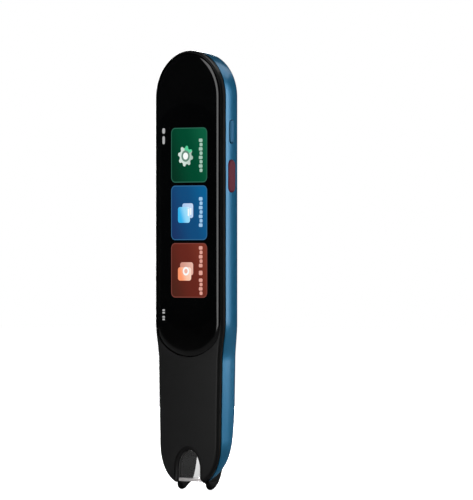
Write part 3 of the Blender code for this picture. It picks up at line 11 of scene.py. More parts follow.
import bmesh
import bpy
import numpy as np
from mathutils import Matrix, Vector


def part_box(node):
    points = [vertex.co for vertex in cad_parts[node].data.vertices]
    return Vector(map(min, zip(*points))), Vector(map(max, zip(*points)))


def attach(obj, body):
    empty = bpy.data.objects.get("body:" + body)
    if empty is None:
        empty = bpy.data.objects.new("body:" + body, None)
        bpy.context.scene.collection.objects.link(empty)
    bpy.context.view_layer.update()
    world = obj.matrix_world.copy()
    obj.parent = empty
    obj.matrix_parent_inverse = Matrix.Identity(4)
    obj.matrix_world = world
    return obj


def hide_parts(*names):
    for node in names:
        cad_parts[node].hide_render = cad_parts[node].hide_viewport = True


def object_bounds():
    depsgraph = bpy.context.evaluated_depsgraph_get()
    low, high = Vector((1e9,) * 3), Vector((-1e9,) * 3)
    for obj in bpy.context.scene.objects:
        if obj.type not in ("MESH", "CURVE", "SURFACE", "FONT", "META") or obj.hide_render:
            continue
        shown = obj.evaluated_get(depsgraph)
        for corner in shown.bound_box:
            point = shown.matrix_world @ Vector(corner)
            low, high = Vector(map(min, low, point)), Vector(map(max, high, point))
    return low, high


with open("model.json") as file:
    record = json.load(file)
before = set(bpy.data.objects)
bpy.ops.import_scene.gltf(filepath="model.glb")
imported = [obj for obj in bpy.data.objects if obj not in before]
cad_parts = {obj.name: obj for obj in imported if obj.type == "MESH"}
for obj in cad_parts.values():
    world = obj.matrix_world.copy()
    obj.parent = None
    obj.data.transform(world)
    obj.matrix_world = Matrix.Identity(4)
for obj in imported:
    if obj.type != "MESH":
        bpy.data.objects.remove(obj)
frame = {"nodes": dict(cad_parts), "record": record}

NODES = frame["nodes"]
CAD_LOW, CAD_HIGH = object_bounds()
print("packed parts:", len(NODES), "box in mm:", [round(x * 1000, 1) for x in CAD_HIGH - CAD_LOW])

# %% [markdown]
# ## Sizes
# A pen like this is drawn from its top end and its front face, so every place here is a distance down
# from the top and a depth behind the front. One function turns that into the model's own coordinates.

# %% Sizes in metres, and the way from the drawing to the model
MM = 0.001
LENGTH = CAD_HIGH.z
THICKNESS = 12.5 * MM
WIDTH = 33.8 * MM


def place(across, down, depth):
    """Drawing to model: x is across, y is the depth less half the thickness, z is length less down."""
    across, down, depth = np.broadcast_arrays(across, down, depth)
    return np.stack([across, depth - THICKNESS / 2, LENGTH - down], axis=-1).astype(float)


def add_object(name, data):
    """Put a mesh, a lamp or a camera into the scene under a name."""
    made = bpy.data.objects.new(name, data)
    bpy.context.scene.collection.objects.link(made)
    return made


print("length in mm:", round(LENGTH / MM, 2))

# %% [markdown]
# ## The camera
# The picture was taken from far away with a long lens, level with the pen, 43.5 degrees round from the
# screen side. A long lens keeps the pen's sides parallel, as they are there. An orthographic camera
# would do so too, but the lens leaves the trace of perspective that a real picture has.

# %% Camera
AZIMUTH = math.radians(43.5)
PIXELS_PER_METRE = 2775.0
FRAME_WIDTH, FRAME_HEIGHT = 473, 500
LENS, SENSOR = 400.0, 36.0
PEN_AXIS_PIXEL, TOP_PIXEL = 200.2, 50.8
NEAREST, FURTHEST = 0.05, 20.0

camera_data = bpy.data.cameras.new("studio_camera")
camera_data.lens = LENS
camera_data.sensor_width = SENSOR
camera = add_object("studio_camera", camera_data)
bpy.context.scene.camera = camera
towards_camera = np.array([math.sin(AZIMUTH), -math.cos(AZIMUTH), 0.0])
to_the_right = np.array([math.cos(AZIMUTH), math.sin(AZIMUTH), 0.0])
aim = to_the_right * (FRAME_WIDTH / 2 - PEN_AXIS_PIXEL) / PIXELS_PER_METRE
aim[2] = LENGTH - (FRAME_HEIGHT / 2 - TOP_PIXEL) / PIXELS_PER_METRE
distance = FRAME_HEIGHT / PIXELS_PER_METRE * LENS / SENSOR
camera.location = aim + towards_camera * distance
camera.rotation_euler = (math.pi / 2, 0.0, AZIMUTH)
camera_data.clip_start, camera_data.clip_end = NEAREST, FURTHEST
print("camera distance in m:", round(distance, 3))

# %% [markdown]
# ## Materials
# Each finish is a small tree of nodes. One function adds a node with its settings and links, and one
# turns the hex colours of a paint chart, which are sRGB, into the linear light that a renderer adds up.
# An even colour looks like wax, so every finish carries noise as coarse as the real one's grain.

# %% Colour and node helpers
RELIEF = 0.05 * MM
# Noise seldom leaves the middle of its range, so the two shades of a finish sit at these shares of it.
SHADES_AT = (0.3, 0.7)


def colour(hex_text):
    """sRGB to linear: a dark channel c is c / 12.92, and any other is ((c + 0.055) / 1.055) to the 2.4."""
    channels = [int(hex_text[i : i + 2], 16) / 255 for i in (0, 2, 4)]
    linear = [c / 12.92 if c <= 0.04045 else ((c + 0.055) / 1.055) ** 2.4 for c in channels]
    return (*linear, 1.0)


def node(owner, kind, settings=None, **links):
    """Add one node. Settings are its properties; a link is a socket's name with a value or another socket."""
    made = owner.node_tree.nodes.new(kind)
    for name, value in (settings or {}).items():
        setattr(made, name, value)
    for name, value in links.items():
        socket = made.inputs[int(name[1:])] if name[1:].isdigit() else made.inputs[name.replace("_", " ")]
        if isinstance(value, bpy.types.NodeSocket):
            owner.node_tree.links.new(value, socket)
        else:
            socket.default_value = value
    return made


def show(owner, shaded, end="Material Output"):
    """Lead a shader's output to the surface of a material, or of the world."""
    owner.node_tree.links.new(shaded, owner.node_tree.nodes[end].inputs["Surface"])


def finish(name, base, **sockets):
    """A material with a Principled shader: base is a hex colour, and sockets are its other settings."""
    material = bpy.data.materials.new(name)
    material.use_nodes = True
    shader = material.node_tree.nodes["Principled BSDF"]
    shader.inputs["Base Color"].default_value = colour(base)
    for socket, value in sockets.items():
        shader.inputs[socket.replace("_", " ")].default_value = value
    return material, shader


def grained(name, base, size, shades, rough, bump=0.0, stretch=(1.0, 1.0, 1.0), detail=3.0, **sockets):
    """A finish with noise of one real size, in metres: it runs from the dark to the light of two shades
    and between two roughnesses, and may raise a fine relief."""
    material, shader = finish(name, base, **sockets)
    links = material.node_tree.links
    middle = node(material, "ShaderNodeTexCoord").outputs["Object"]
    mapping = node(material, "ShaderNodeMapping", Vector=middle, Scale=stretch)
    turned_to = mapping.outputs["Vector"]
    noise = node(material, "ShaderNodeTexNoise", Vector=turned_to, Scale=1.0 / size, Detail=detail)
    ramp = node(material, "ShaderNodeValToRGB", Fac=noise.outputs["Fac"])
    for stop, position, shade in zip(ramp.color_ramp.elements, SHADES_AT, shades):
        stop.position = position
        stop.color = colour(shade)
    links.new(ramp.outputs["Color"], shader.inputs["Base Color"])
    low, high = rough
    spread = node(material, "ShaderNodeMapRange", Value=noise.outputs["Fac"], To_Min=low, To_Max=high)
    links.new(spread.outputs["Result"], shader.inputs["Roughness"])
    if bump > 0.0:
        height = noise.outputs["Fac"]
        relief = node(material, "ShaderNodeBump", Height=height, Strength=bump, Distance=RELIEF)
        links.new(relief.outputs["Normal"], shader.inputs["Normal"])
    return material


def let_through(material):
    """Light for shadows goes straight through a clear part, so what is behind it isn't left in the dark."""
    shaded = material.node_tree.nodes["Principled BSDF"].outputs[0]
    clear = node(material, "ShaderNodeBsdfTransparent", Color=(0.9, 0.9, 0.9, 1.0)).outputs[0]
    shadow = node(material, "ShaderNodeLightPath").outputs["Is Shadow Ray"]
    show(material, node(material, "ShaderNodeMixShader", _0=shadow, _1=shaded, _2=clear).outputs["Shader"])


print("relief of the finishes in mm:", round(RELIEF / MM, 3))

# %% [markdown]
# ## Casing finishes
# The back shell is moulded plastic under a blue pearl lacquer: metallic flakes in the colour coat, and
# clear gloss over it. The front frame and the nose are plain black ABS with a fine spark-eroded grain.
# The cover glass is printed black from behind. Grain too fine to see is drawn coarser than it is.

# %% Lacquer, black ABS and printed glass
# Flakes, in truth 0.03 mm, give a deep blue that flares up softly where it faces a lamp.
LACQUER = grained(
    "blue_pearl_lacquer_on_ABS", "0b6c98", 0.12 * MM, ("0a6790", "1074a0"), (0.26, 0.31), bump=0.03,
    Metallic=0.55, Roughness=0.28, IOR=1.5, Coat_Weight=0.5, Coat_Roughness=0.16,
)
# The key is painted apart from the shell, a little darker and less shiny, so its flat face doesn't glare.
KEY_LACQUER = grained(
    "darker_blue_lacquer_on_key", "0a5a82", 0.12 * MM, ("09557b", "0d6189"), (0.39, 0.46), bump=0.03,
    Metallic=0.45, Roughness=0.42, IOR=1.5,
)
# The grain, in truth 0.1 mm, spreads a lamp's reflection into a soft grey sheen.
BLACK_ABS = grained(
    "spark_grained_black_ABS", "0e0e0e", 0.25 * MM, ("0a0a0a", "0f0f0f"), (0.29, 0.36), bump=0.06,
    Roughness=0.32, IOR=1.45,
)
# Coarsely eroded and rubbed dull, so the fork and the frame's sides stay black beside a lamp.
FORK_BLACK = grained(
    "matt_black_ABS_of_the_fork", "090909", 0.3 * MM, ("070707", "0c0c0c"), (0.56, 0.64), bump=0.03,
    Roughness=0.6, IOR=1.45, Specular_IOR_Level=0.24,
)
# Drawn a darker black than the face beside it, on the step round the window and on the window's inked edge.
RIM_BLACK = grained(
    "darker_black_ABS_rim", "040404", 0.6 * MM, ("020202", "060606"), (0.25, 0.35), detail=1.0,
    Roughness=0.30, IOR=1.45,
)
# Float glass over black print: a dark mirror, whose slow mottle keeps its lamp lines from being perfect.
GLASS_BLACK = grained(
    "glass_printed_black_behind", "050505", 14.0 * MM, ("040404", "070707"), (0.05, 0.08), detail=1.0,
    Roughness=0.06, IOR=1.5,
)
# The display is blacker than the print round it and has the same gloss, so the tiles seem to float.
SCREEN_BLACK = grained(
    "display_behind_glass", "010101", 14.0 * MM, ("000000", "020202"), (0.05, 0.08), detail=1.0,
    Roughness=0.06, IOR=1.5,
)
# Dyed through and left satin: a dull wine red that takes no hard reflection.
RED_KEY = grained(
    "dark_red_satin_ABS", "641a2c", 0.3 * MM, ("5c1628", "701f34"), (0.36, 0.46), bump=0.04,
    Roughness=0.40, IOR=1.45, Specular_IOR_Level=0.2,
)
# A coat against glare, given by an IOR under acrylic's 1.49, lets the black leg show through unveiled.
CLEAR_ACRYLIC = grained(
    "smoke_tinted_clear_acrylic", "cfcfcf", 5.0 * MM, ("cccccc", "d3d3d3"), (0.02, 0.05), detail=1.0,
    Roughness=0.04, IOR=1.34, Transmission_Weight=1.0,
)
let_through(CLEAR_ACRYLIC)
# Frosted and half clear. Its pale colour is a painted reflection: it stands for the bright line of floor
# light along the window's foot, and hides what is behind it.
FROSTED_LIP_PAINTED_REFLECTION = grained(
    "frosted_acrylic_painted_reflection", "e6e2e2", 1.2 * MM, ("e2dddd", "eae7e7"), (0.5, 0.6), bump=0.05,
    Roughness=0.55, IOR=1.49, Transmission_Weight=0.55,
)
print("casing finishes:", [m.name for m in (LACQUER, BLACK_ABS, GLASS_BLACK, RED_KEY, CLEAR_ACRYLIC)])

# %% [markdown]
# ## Finishes of the parts inside
# Nobody sees most of these with the casing shut, but they are real parts too: stamped and rolled steel
# with its drawn grain, green solder mask over woven glass fibre, moulded epoxy, amber film and foam.

# %% Inside finishes
# Rolling leaves streaks along the pen, so the sheet gleams in lines.
SHEET_STEEL = grained(
    "rolled_sheet_steel", "a9a9a6", 0.4 * MM, ("9c9c99", "b3b3b0"), (0.28, 0.40), bump=0.08,
    stretch=(1.0, 1.0, 0.08), Metallic=1.0, Roughness=0.34,
)
# Drawn wire is brighter than sheet, with fine mottled draw marks.
STEEL_WIRE = grained(
    "drawn_spring_steel", "b4b4b4", 0.2 * MM, ("a6a6a6", "bebebe"), (0.20, 0.32), bump=0.05,
    Metallic=1.0, Roughness=0.25,
)
# The weave of the board swells under the mask and mottles its green.
SOLDER_MASK = grained(
    "green_solder_mask_on_glass_fibre", "16402c", 1.1 * MM, ("113524", "1d5238"), (0.28, 0.42), bump=0.12,
    Roughness=0.35, IOR=1.5,
)
# Filler in the resin makes a charcoal that takes no clear reflection.
EPOXY = grained(
    "moulded_black_epoxy", "242426", 0.15 * MM, ("202022", "2b2b2e"), (0.55, 0.70), bump=0.15,
    Roughness=0.62, IOR=1.5,
)
# Stretched film: warm amber with faint streaks along its length.
FILM = grained(
    "amber_polyimide_film", "a4661f", 0.9 * MM, ("985a18", "b07328"), (0.24, 0.36),
    stretch=(1.0, 1.0, 0.1), Roughness=0.30, IOR=1.6,
)
# Cells of about a third of a millimetre speckle it and swallow every reflection.
FOAM = grained(
    "closed_cell_grey_foam", "4a4a4c", 0.35 * MM, ("3e3e40", "58585a"), (0.9, 1.0), bump=0.5,
    Roughness=0.95, IOR=1.4,
)
# Foil under nylon: dull silver with shallow dents.
POUCH = grained(
    "laminated_foil_pouch", "b9bbbe", 2.2 * MM, ("adafb2", "c3c5c8"), (0.36, 0.48), bump=0.2,
    Metallic=0.9, Roughness=0.42,
)
# The lens looks nearly black, and its coating tints it violet.
LENS_GLASS = grained(
    "coated_lens_glass", "0c0a18", 1.5 * MM, ("0a0816", "120e26"), (0.02, 0.05), detail=1.0,
    Roughness=0.03, IOR=1.6, Coat_Weight=1.0,
)
# Thin plating over nickel: a warm yellow with a soft gleam.
GOLD = grained(
    "gold_plated_contact", "c9a14a", 0.3 * MM, ("bd9440", "d3ad58"), (0.22, 0.34),
    Metallic=1.0, Roughness=0.28,
)

BY_SLOT = {
    "satin_black_plastic": BLACK_ABS,
    "blue_lacquered_plastic": LACQUER,
    "red_plastic": RED_KEY,
    "printed_black_glass": GLASS_BLACK,
    "clear_acrylic": CLEAR_ACRYLIC,
    "sheet_steel": SHEET_STEEL,
    "spring_steel": STEEL_WIRE,
    "solder_mask": SOLDER_MASK,
    "moulded_epoxy": EPOXY,
    "polyimide_film": FILM,
    "closed_cell_foam": FOAM,
    "battery_pouch_foil": POUCH,
}
for part in frame["record"]["subparts"]:
    slots = NODES[part["node"]].data.materials
    slots.clear()
    slots.append(BY_SLOT[part["material_slot"]])
NODES["camera_lens"].data.materials[0] = LENS_GLASS

# %% [markdown]
# ## From arrays to meshes
# Nearly every surface below is a grid: row i and column j hold one point, worked out for all rows and
# columns at once. One function turns such a grid into a closed mesh and lets the piece ride on its body.

# %% Grid surfaces
SHARP_OVER = 32.0


def turn_outwards(mesh):
    """Make every face of a closed mesh point outwards."""
    working = bmesh.new()
    working.from_mesh(mesh)
    bmesh.ops.recalc_face_normals(working, faces=working.faces[:])
    working.to_mesh(mesh)
    working.free()


def to_object(name, points, faces, material, body, slot, flat_over=SHARP_OVER):
    """A mesh from points and faces, smooth except over edges sharper than an angle, riding on a body."""
    mesh = bpy.data.meshes.new(name)
    mesh.from_pydata(points.tolist(), [], faces)
    mesh.validate()
    turn_outwards(mesh)
    mesh.shade_smooth()
    mesh.set_sharp_from_angle(angle=math.radians(flat_over))
    mesh.materials.append(material)
    piece = add_object(name, mesh)
    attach(piece, body)
    return piece


def grid_faces(rows, columns):
    """Quads of a grid whose columns close into a loop: corner (i, j) joins (i, j+1), (i+1, j+1), (i+1, j)."""
    i, j = np.meshgrid(np.arange(rows - 1), np.arange(columns), indexing="ij")
    k, here, below = (j + 1) % columns, i * columns, (i + 1) * columns
    quads = np.stack([here + j, here + k, below + k, below + j], axis=-1)
    return quads.reshape(-1, 4)


def strip_faces(start, columns):
    """Close a loop that is mirrored left and right: point i joins the point as far round the other way."""
    faces = []
    for i in range(columns // 2):
        across = [start + (columns - i - 1) % columns, start + (columns - i) % columns]
        faces.append(list(dict.fromkeys([start + i, start + i + 1, *across])))
    return faces


def loft(name, grid, material, body, slot, mirrored=False, flat_over=SHARP_OVER):
    """A closed solid from a grid of loops, whose two ends are closed by strips or by one face each."""
    rows, columns = grid.shape[:2]
    faces = grid_faces(rows, columns).tolist()
    last = (rows - 1) * columns
    if mirrored:
        faces += strip_faces(0, columns) + strip_faces(last, columns)
    else:
        faces += [list(range(columns)), list(range(last, last + columns))]
    return to_object(name, grid.reshape(-1, 3), faces, material, body, slot, flat_over)


def stacked(grids):
    """The points and faces of several closed grids, one after another, as one list of each."""
    points, faces, start = [], [], 0
    for grid in grids:
        rows, columns = grid.shape[:2]
        points.append(grid.reshape(-1, 3))
        last = start + (rows - 1) * columns
        faces += (start + grid_faces(rows, columns)).tolist()
        faces += [list(range(start, start + columns)), list(range(last, last + columns))]
        start += rows * columns
    return np.concatenate(points), faces


print("edges are drawn sharp over", SHARP_OVER, "degrees")

# %% [markdown]
# ## The outline of the pen
# Seen from the front the pen is a half circle, two straight sides, a soft shoulder, a slimmer grip and
# a rounded nose. It is held as rays from the middle line: where each starts, which way it runs and how
# far it reaches. Pulling a ray's end in by an inset gives every inner line of the casing. A traced curve
# would give the outline too, but not insets that stay true round both ends.

# %% Outline rays
SHOULDER_DOWN, SHOULDER_LENGTH = 97.7 * MM, 14.3 * MM
GRIP_WIDTH, NECK_WIDTH = 30.6 * MM, 29.5 * MM
NOSE_DOWN, NOSE_LENGTH = 139.0 * MM, 17.6 * MM
NOSE_LENGTH_POWER, NOSE_WIDTH_POWER = 2.5, 2.4
CAP_RAYS, NOSE_RAYS = 40, 48
BODY_RAYS, SHOULDER_RAYS, GRIP_RAYS = 24, 24, 12


def s_curve(share):
    """3s² - 2s³ between 0 and 1, level at both ends."""
    share = np.clip(share, 0.0, 1.0)
    return share * share * (3.0 - 2.0 * share)


def half_width(down):
    """Half the body's width, brought to half the grip's over the shoulder by the S-curve."""
    grip_down = SHOULDER_DOWN + SHOULDER_LENGTH
    along = np.clip((down - grip_down) / (NOSE_DOWN - grip_down), 0.0, 1.0)
    grip = GRIP_WIDTH + (NECK_WIDTH - GRIP_WIDTH) * along
    share = s_curve((down - SHOULDER_DOWN) / SHOULDER_LENGTH)
    return (WIDTH + (grip - WIDTH) * share) / 2


def cap_rays(inset):
    """The round top: rays at equal angles from the middle of the half circle, short of it by the inset."""
    radius = WIDTH / 2
    angle = np.linspace(0.0, math.pi / 2, CAP_RAYS, endpoint=False)
    start, reach = np.full(CAP_RAYS, radius), np.full(CAP_RAYS, radius - inset)
    return np.stack([start, np.sin(angle), -np.cos(angle), reach], axis=1)


def side_rays(down, inset):
    """The sides: rays straight out to the half width, short of it by the inset."""
    return np.stack([down, np.ones_like(down), np.zeros_like(down), half_width(down) - inset], axis=1)


def casing_rays():
    """Rows of (start down, across share, down share, reach): round cap, sides, then a squarish ellipse."""
    shoulder_end = SHOULDER_DOWN + SHOULDER_LENGTH
    body = np.linspace(WIDTH / 2, SHOULDER_DOWN, BODY_RAYS, endpoint=False)
    shoulder = np.linspace(SHOULDER_DOWN, shoulder_end, SHOULDER_RAYS, endpoint=False)
    grip = np.linspace(shoulder_end, NOSE_DOWN, GRIP_RAYS, endpoint=False)
    angle = np.linspace(0.0, math.pi / 2, NOSE_RAYS)
    across = NECK_WIDTH / 2 * np.maximum(np.cos(angle), 0.0) ** (2 / NOSE_WIDTH_POWER)
    below = NOSE_LENGTH * np.sin(angle) ** (2 / NOSE_LENGTH_POWER)
    across[-1] = 0.0
    reach = np.hypot(across, below)
    nose = np.stack([np.full(NOSE_RAYS, NOSE_DOWN), across / reach, below / reach, reach], axis=1)
    return np.concatenate([cap_rays(0.0), side_rays(np.concatenate([body, shoulder, grip]), 0.0), nose])


def loops(rays, inset, depth):
    """A grid of loops: each ray's end pulled in by an inset, at a depth, then mirrored to the left side."""
    reach = rays[:, 3] - inset
    right = place(rays[:, 1] * reach, rays[:, 0] + rays[:, 2] * reach, depth)
    left = right[:, -2:0:-1].copy()
    left[..., 0] *= -1.0
    return np.concatenate([right, left], axis=1)


def steps(pairs):
    """Columns of insets and depths, one row for each (inset, depth) pair given in millimetres."""
    table = np.array(pairs) * MM
    return table[:, :1], table[:, 1:]


def quarter_round(across, along, count):
    """Steps over a quarter of an ellipse: across times (1 - sin a) beside along times (1 - cos a)."""
    a = np.linspace(0.0, math.pi / 2, count)
    return np.stack([across * (1 - np.sin(a)), along * (1 - np.cos(a))], axis=1)


RAYS = casing_rays()
print("rays round half of the outline:", len(RAYS))

# %% [markdown]
# ## The back shell
# One moulded wall goes round the sides and over the back. Its section, from the rim inwards, is a wall
# that leans in and bows out a little, a rounded ridge, a crowned slope and a flat middle. Towards the
# nose the back comes forward in one sweep. The same section, moved in by the wall, lines it. A box with
# bevels could not carry a ridge that changes along the pen, so each step is worked out.

# %% Section of the back shell
RIM_DEPTH, RIDGE_DEPTH = 2.0 * MM, 9.3 * MM
RIDGE_INSET_BODY, RIDGE_INSET_GRIP, RIDGE_ROUNDING = 1.0 * MM, 0.35 * MM, 1.3 * MM
WALL_BOW, BACK_FLAT, CROWN_POWER = 0.15 * MM, 8.0 * MM, 2.3
SWEEP_DOWN, SWEEP_LENGTH, SWEEP_BASE, SWEEP_POWER = 128.7 * MM, 25.8 * MM, 2.3 * MM, 0.6
SHELL_WALL, BACK_WALL = 1.2 * MM, 1.3 * MM


def sweep_share(down, wall):
    """The share of its height that the back keeps towards the nose: (1 - along²) to the power 0.6."""
    along = np.clip((down - SWEEP_DOWN) / (SWEEP_LENGTH - wall), 0.0, 1.0)
    return (1.0 - along**2) ** SWEEP_POWER


def back_section(rays, wall, floor):
    """Insets and depths, one row for each step from the rim to the middle line of the back.

    The wall is a straight line with a half sine wave on it. The ridge is a quadratic curve,
    (1-s)²a + 2s(1-s)b + s²c, with its corner b on the ridge. The crown falls from the flat as the
    distance's share to the power 2.3.
    """
    reach = rays[:, 3] - wall
    end_down = rays[:, 0] + rays[:, 2] * rays[:, 3]
    share = s_curve((end_down - SHOULDER_DOWN) / SHOULDER_LENGTH)
    ridge = reach - (RIDGE_INSET_BODY + (RIDGE_INSET_GRIP - RIDGE_INSET_BODY) * share)
    ridge_depth, top = RIDGE_DEPTH - floor, THICKNESS - floor
    flat = reach * BACK_FLAT / WIDTH
    rise = ridge_depth - RIM_DEPTH
    slope = rise / np.hypot(rise, reach - ridge)
    wall_end = ridge + (reach - ridge) * RIDGE_ROUNDING / rise
    wall_end_depth = ridge_depth - RIDGE_ROUNDING * slope

    def crown(out):
        return top - (top - ridge_depth) * np.maximum((out - flat) / (ridge - flat), 0.0) ** CROWN_POWER

    s = np.linspace(0.0, 1.0, 9, endpoint=False)[:, None]
    bow = WALL_BOW * sweep_share(end_down, wall)
    out = [reach + (wall_end - reach) * s + bow * np.sin(math.pi * s)]
    depth = [RIM_DEPTH + (wall_end_depth - RIM_DEPTH) * s]
    start = ridge - RIDGE_ROUNDING
    out.append((1 - s) ** 2 * wall_end + 2 * s * (1 - s) * ridge + s**2 * start)
    depth.append((1 - s) ** 2 * wall_end_depth + 2 * s * (1 - s) * ridge_depth + s**2 * crown(start))
    s = np.linspace(0.0, 1.0, 14)[:, None]
    out.append(start + (flat - start) * s)
    depth.append(crown(out[-1]))
    s = np.array([0.8, 0.6, 0.4, 0.2, 0.04])[:, None]
    out.append(flat * s)
    depth.append(np.full_like(out[-1], top))
    out, depth = np.concatenate(out), np.concatenate(depth)

    down = rays[:, 0] + rays[:, 2] * out
    base = SWEEP_BASE if wall == 0.0 else RIM_DEPTH
    swept = base + (depth - base) * sweep_share(down, wall)
    return rays[:, 3] - out, np.where(depth > base, swept, depth)


outer_inset, outer_depth = back_section(RAYS, 0.0, 0.0)
inner_inset, inner_depth = back_section(RAYS, SHELL_WALL, BACK_WALL)
shell_grid = np.concatenate(
    [loops(RAYS, inner_inset, inner_depth)[::-1], loops(RAYS, outer_inset, outer_depth)]
)
print("back shell grid:", shell_grid.shape)

# %% [markdown]
# ### Openings in the shell
# The keys, the charging port, the speaker and the camera look out through cuts. The cut faces show the
# bare dark plastic, because lacquer is sprayed on the outside only, so the cutters carry that finish.
# Boolean cuts are taken for it, because they follow the curved wall by themselves.

# %% Cutting tools
# Unpainted plastic: grey and dull, so an opening reads as a dark line round what is in it.
BARE_ABS = grained(
    "bare_dark_grey_ABS", "34383b", 0.2 * MM, ("2e3235", "3d4246"), (0.44, 0.58), bump=0.08,
    Roughness=0.5, IOR=1.53,
)


def stadium(down, depth, length, width, count=16):
    """A slot outline: two half circles of half the width, joined by straight sides, long along the pen."""
    angle = np.linspace(0.0, math.pi, count + 1)
    radius, reach = width / 2, (length - width) / 2
    first = np.stack([down + reach + radius * np.sin(angle), depth + radius * np.cos(angle)], axis=1)
    second = np.stack([down - reach - radius * np.sin(angle), depth - radius * np.cos(angle)], axis=1)
    return np.concatenate([first, second])


def circle(across, down, radius, count):
    """Points on a circle: centre plus radius times cosine and sine."""
    angle = np.linspace(0.0, 2 * math.pi, count, endpoint=False)
    return np.stack([across + radius * np.cos(angle), down + radius * np.sin(angle)], axis=1)


def front_loops(outline, depths):
    """An (across, down) outline repeated at several depths."""
    return np.stack([place(outline[:, 0], outline[:, 1], depth) for depth in depths])


def side_loops(outline, positions):
    """A (down, depth) outline repeated at several places across the pen."""
    return np.stack([place(x, outline[:, 0], outline[:, 1]) for x in positions])


def cut(piece, grids, material):
    """Cut closed grids out of a piece for good, and keep their finish on the cut faces."""
    points, faces = stacked(grids)
    mesh = bpy.data.meshes.new("cutting_tool")
    mesh.from_pydata(points.tolist(), [], faces)
    turn_outwards(mesh)
    mesh.materials.append(material)
    cutter = add_object("cutting_tool", mesh)
    step = piece.modifiers.new("cut", "BOOLEAN")
    step.operation, step.object, step.solver, step.material_mode = "DIFFERENCE", cutter, "EXACT", "TRANSFER"
    bpy.context.view_layer.update()
    made = bpy.data.meshes.new_from_object(piece.evaluated_get(bpy.context.evaluated_depsgraph_get()))
    piece.modifiers.clear()
    piece.data = made
    made.set_sharp_from_angle(angle=math.radians(SHARP_OVER))
    bpy.data.objects.remove(cutter)


print("bare plastic in the openings:", BARE_ABS.name)

# %% Openings, cut
SPEAKER_DOWN = 18.1 * MM
HOLE_RADII, HOLES_IN_A_RING, HOLE_RADIUS = (6.27 * MM, 5.14 * MM, 3.90 * MM), 14, 0.4 * MM
KEY_DEPTH, KEY_GAP = 5.2 * MM, 0.2 * MM
POWER_KEY = (29.4 * MM, 8.3 * MM, 2.5 * MM)
FUNCTION_KEY = (45.3 * MM, 11.6 * MM, 3.7 * MM)
PORT_DOWN, PORT_DEPTH, PORT_LENGTH, PORT_WIDTH, PORT_GAP = 31.9 * MM, 5.5 * MM, 8.9 * MM, 3.2 * MM, 0.25 * MM
NOTCH_TOP, NOTCH_HALF, NOTCH_CORNER = 136.2 * MM, 6.75 * MM, 1.2 * MM
FLARE_DOWN, FLARE_END, FLARE_HALF = 139.0 * MM, 149.0 * MM, 8.3 * MM
# Cutters start inside the shell and end in the open, behind the back, beside the wall or below the nose.
BEHIND, BELOW, HOLE_START = 14.0 * MM, 162.0 * MM, 10.4 * MM
WALL_START, BESIDE = 13.0 * MM, 18.0 * MM

holes = []
for number, radius in enumerate(HOLE_RADII):
    turn = 2 * math.pi * (np.arange(HOLES_IN_A_RING) + 0.5 * (number % 2)) / HOLES_IN_A_RING
    for across, down in zip(radius * np.sin(turn), SPEAKER_DOWN - radius * np.cos(turn)):
        holes.append(front_loops(circle(across, down, HOLE_RADIUS, 12), (HOLE_START, BEHIND)))


def notch_outline():
    """Down from rounded top corners, then out by a quarter sine to the flare: sin runs from 0 to 1."""
    corner = [NOTCH_HALF, NOTCH_TOP] + quarter_round(NOTCH_CORNER, NOTCH_CORNER, 9) * [-1.0, 1.0]
    s = np.linspace(0.0, 1.0, 17)
    half = NOTCH_HALF + (FLARE_HALF - NOTCH_HALF) * np.sin(s * math.pi / 2)
    flare = np.stack([half, FLARE_DOWN + (FLARE_END - FLARE_DOWN) * s], 1)
    right = np.concatenate([corner, flare, [[FLARE_HALF, BELOW]]])
    return np.concatenate([right, right[::-1] * [-1.0, 1.0]])


BLUE_CASING = (LACQUER, "casing", "blue_lacquered_plastic")
BLACK_CASING = (BLACK_ABS, "casing", "satin_black_plastic")
back_shell = loft("back_shell_lacquered", shell_grid, *BLUE_CASING, mirrored=True)
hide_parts("back_shell")
cut(back_shell, [front_loops(notch_outline(), (0.0, BEHIND))], BARE_ABS)
key_slots = []
for down, length, width in (POWER_KEY, FUNCTION_KEY):
    slot_outline = stadium(down, KEY_DEPTH, length + 2 * KEY_GAP, width + 2 * KEY_GAP)
    key_slots.append(side_loops(slot_outline, (WALL_START, BESIDE)))
mouth = stadium(PORT_DOWN, PORT_DEPTH, PORT_LENGTH + 2 * PORT_GAP, PORT_WIDTH + 2 * PORT_GAP)
cut(back_shell, key_slots + [side_loops(mouth, (-BESIDE, -WALL_START))] + holes, BARE_ABS)
print("back shell faces:", len(back_shell.data.polygons), "with", len(holes), "speaker holes")

# %% [markdown]
# ## The front frame
# A black frame carries the glass and goes on below it as the flat face of the grip and nose. Its edge
# is a quarter of an ellipse, wider than it is deep, and it draws the thin bright line down the side.
# It runs on the same rays as the shell, so the two meet all round without being fitted by eye.

# %% Front frame
FRONT_EDGE, FRONT_EDGE_WIDTH, PARTING_DEPTH = 0.85, 1.4, 1.7
GLASS_INSET, GLASS_BOTTOM, GLASS_ARC, GLASS_CORNER_POWER = 1.0 * MM, 110.2 * MM, 20.0 * MM, 24
ARCH_TOP, ARCH_HEIGHT, ARCH_HALF = 143.55 * MM, 7.0 * MM, 5.7 * MM
ARCH_RIM, ARCH_RIM_DEPTH = 1.3 * MM, 0.4 * MM
ARCH_FLARE_DOWN, ARCH_FLARE_LENGTH, ARCH_FLARE_STEP = 153.4 * MM, 1.6 * MM, 1.2 * MM
BEFORE = -1.0 * MM

edge_pairs = quarter_round(FRONT_EDGE_WIDTH, FRONT_EDGE, 10).tolist()
edge_pairs += [(0.0, 1.55), (0.06, 1.66), (0.15, PARTING_DEPTH), (1.5, PARTING_DEPTH), (1.5, 2.9), (1.6, 3.0)]
edge_pairs += [(2.4, 3.0), (2.5, 2.9), (2.5, 1.9)]
front_grid = loops(RAYS, *steps(edge_pairs))


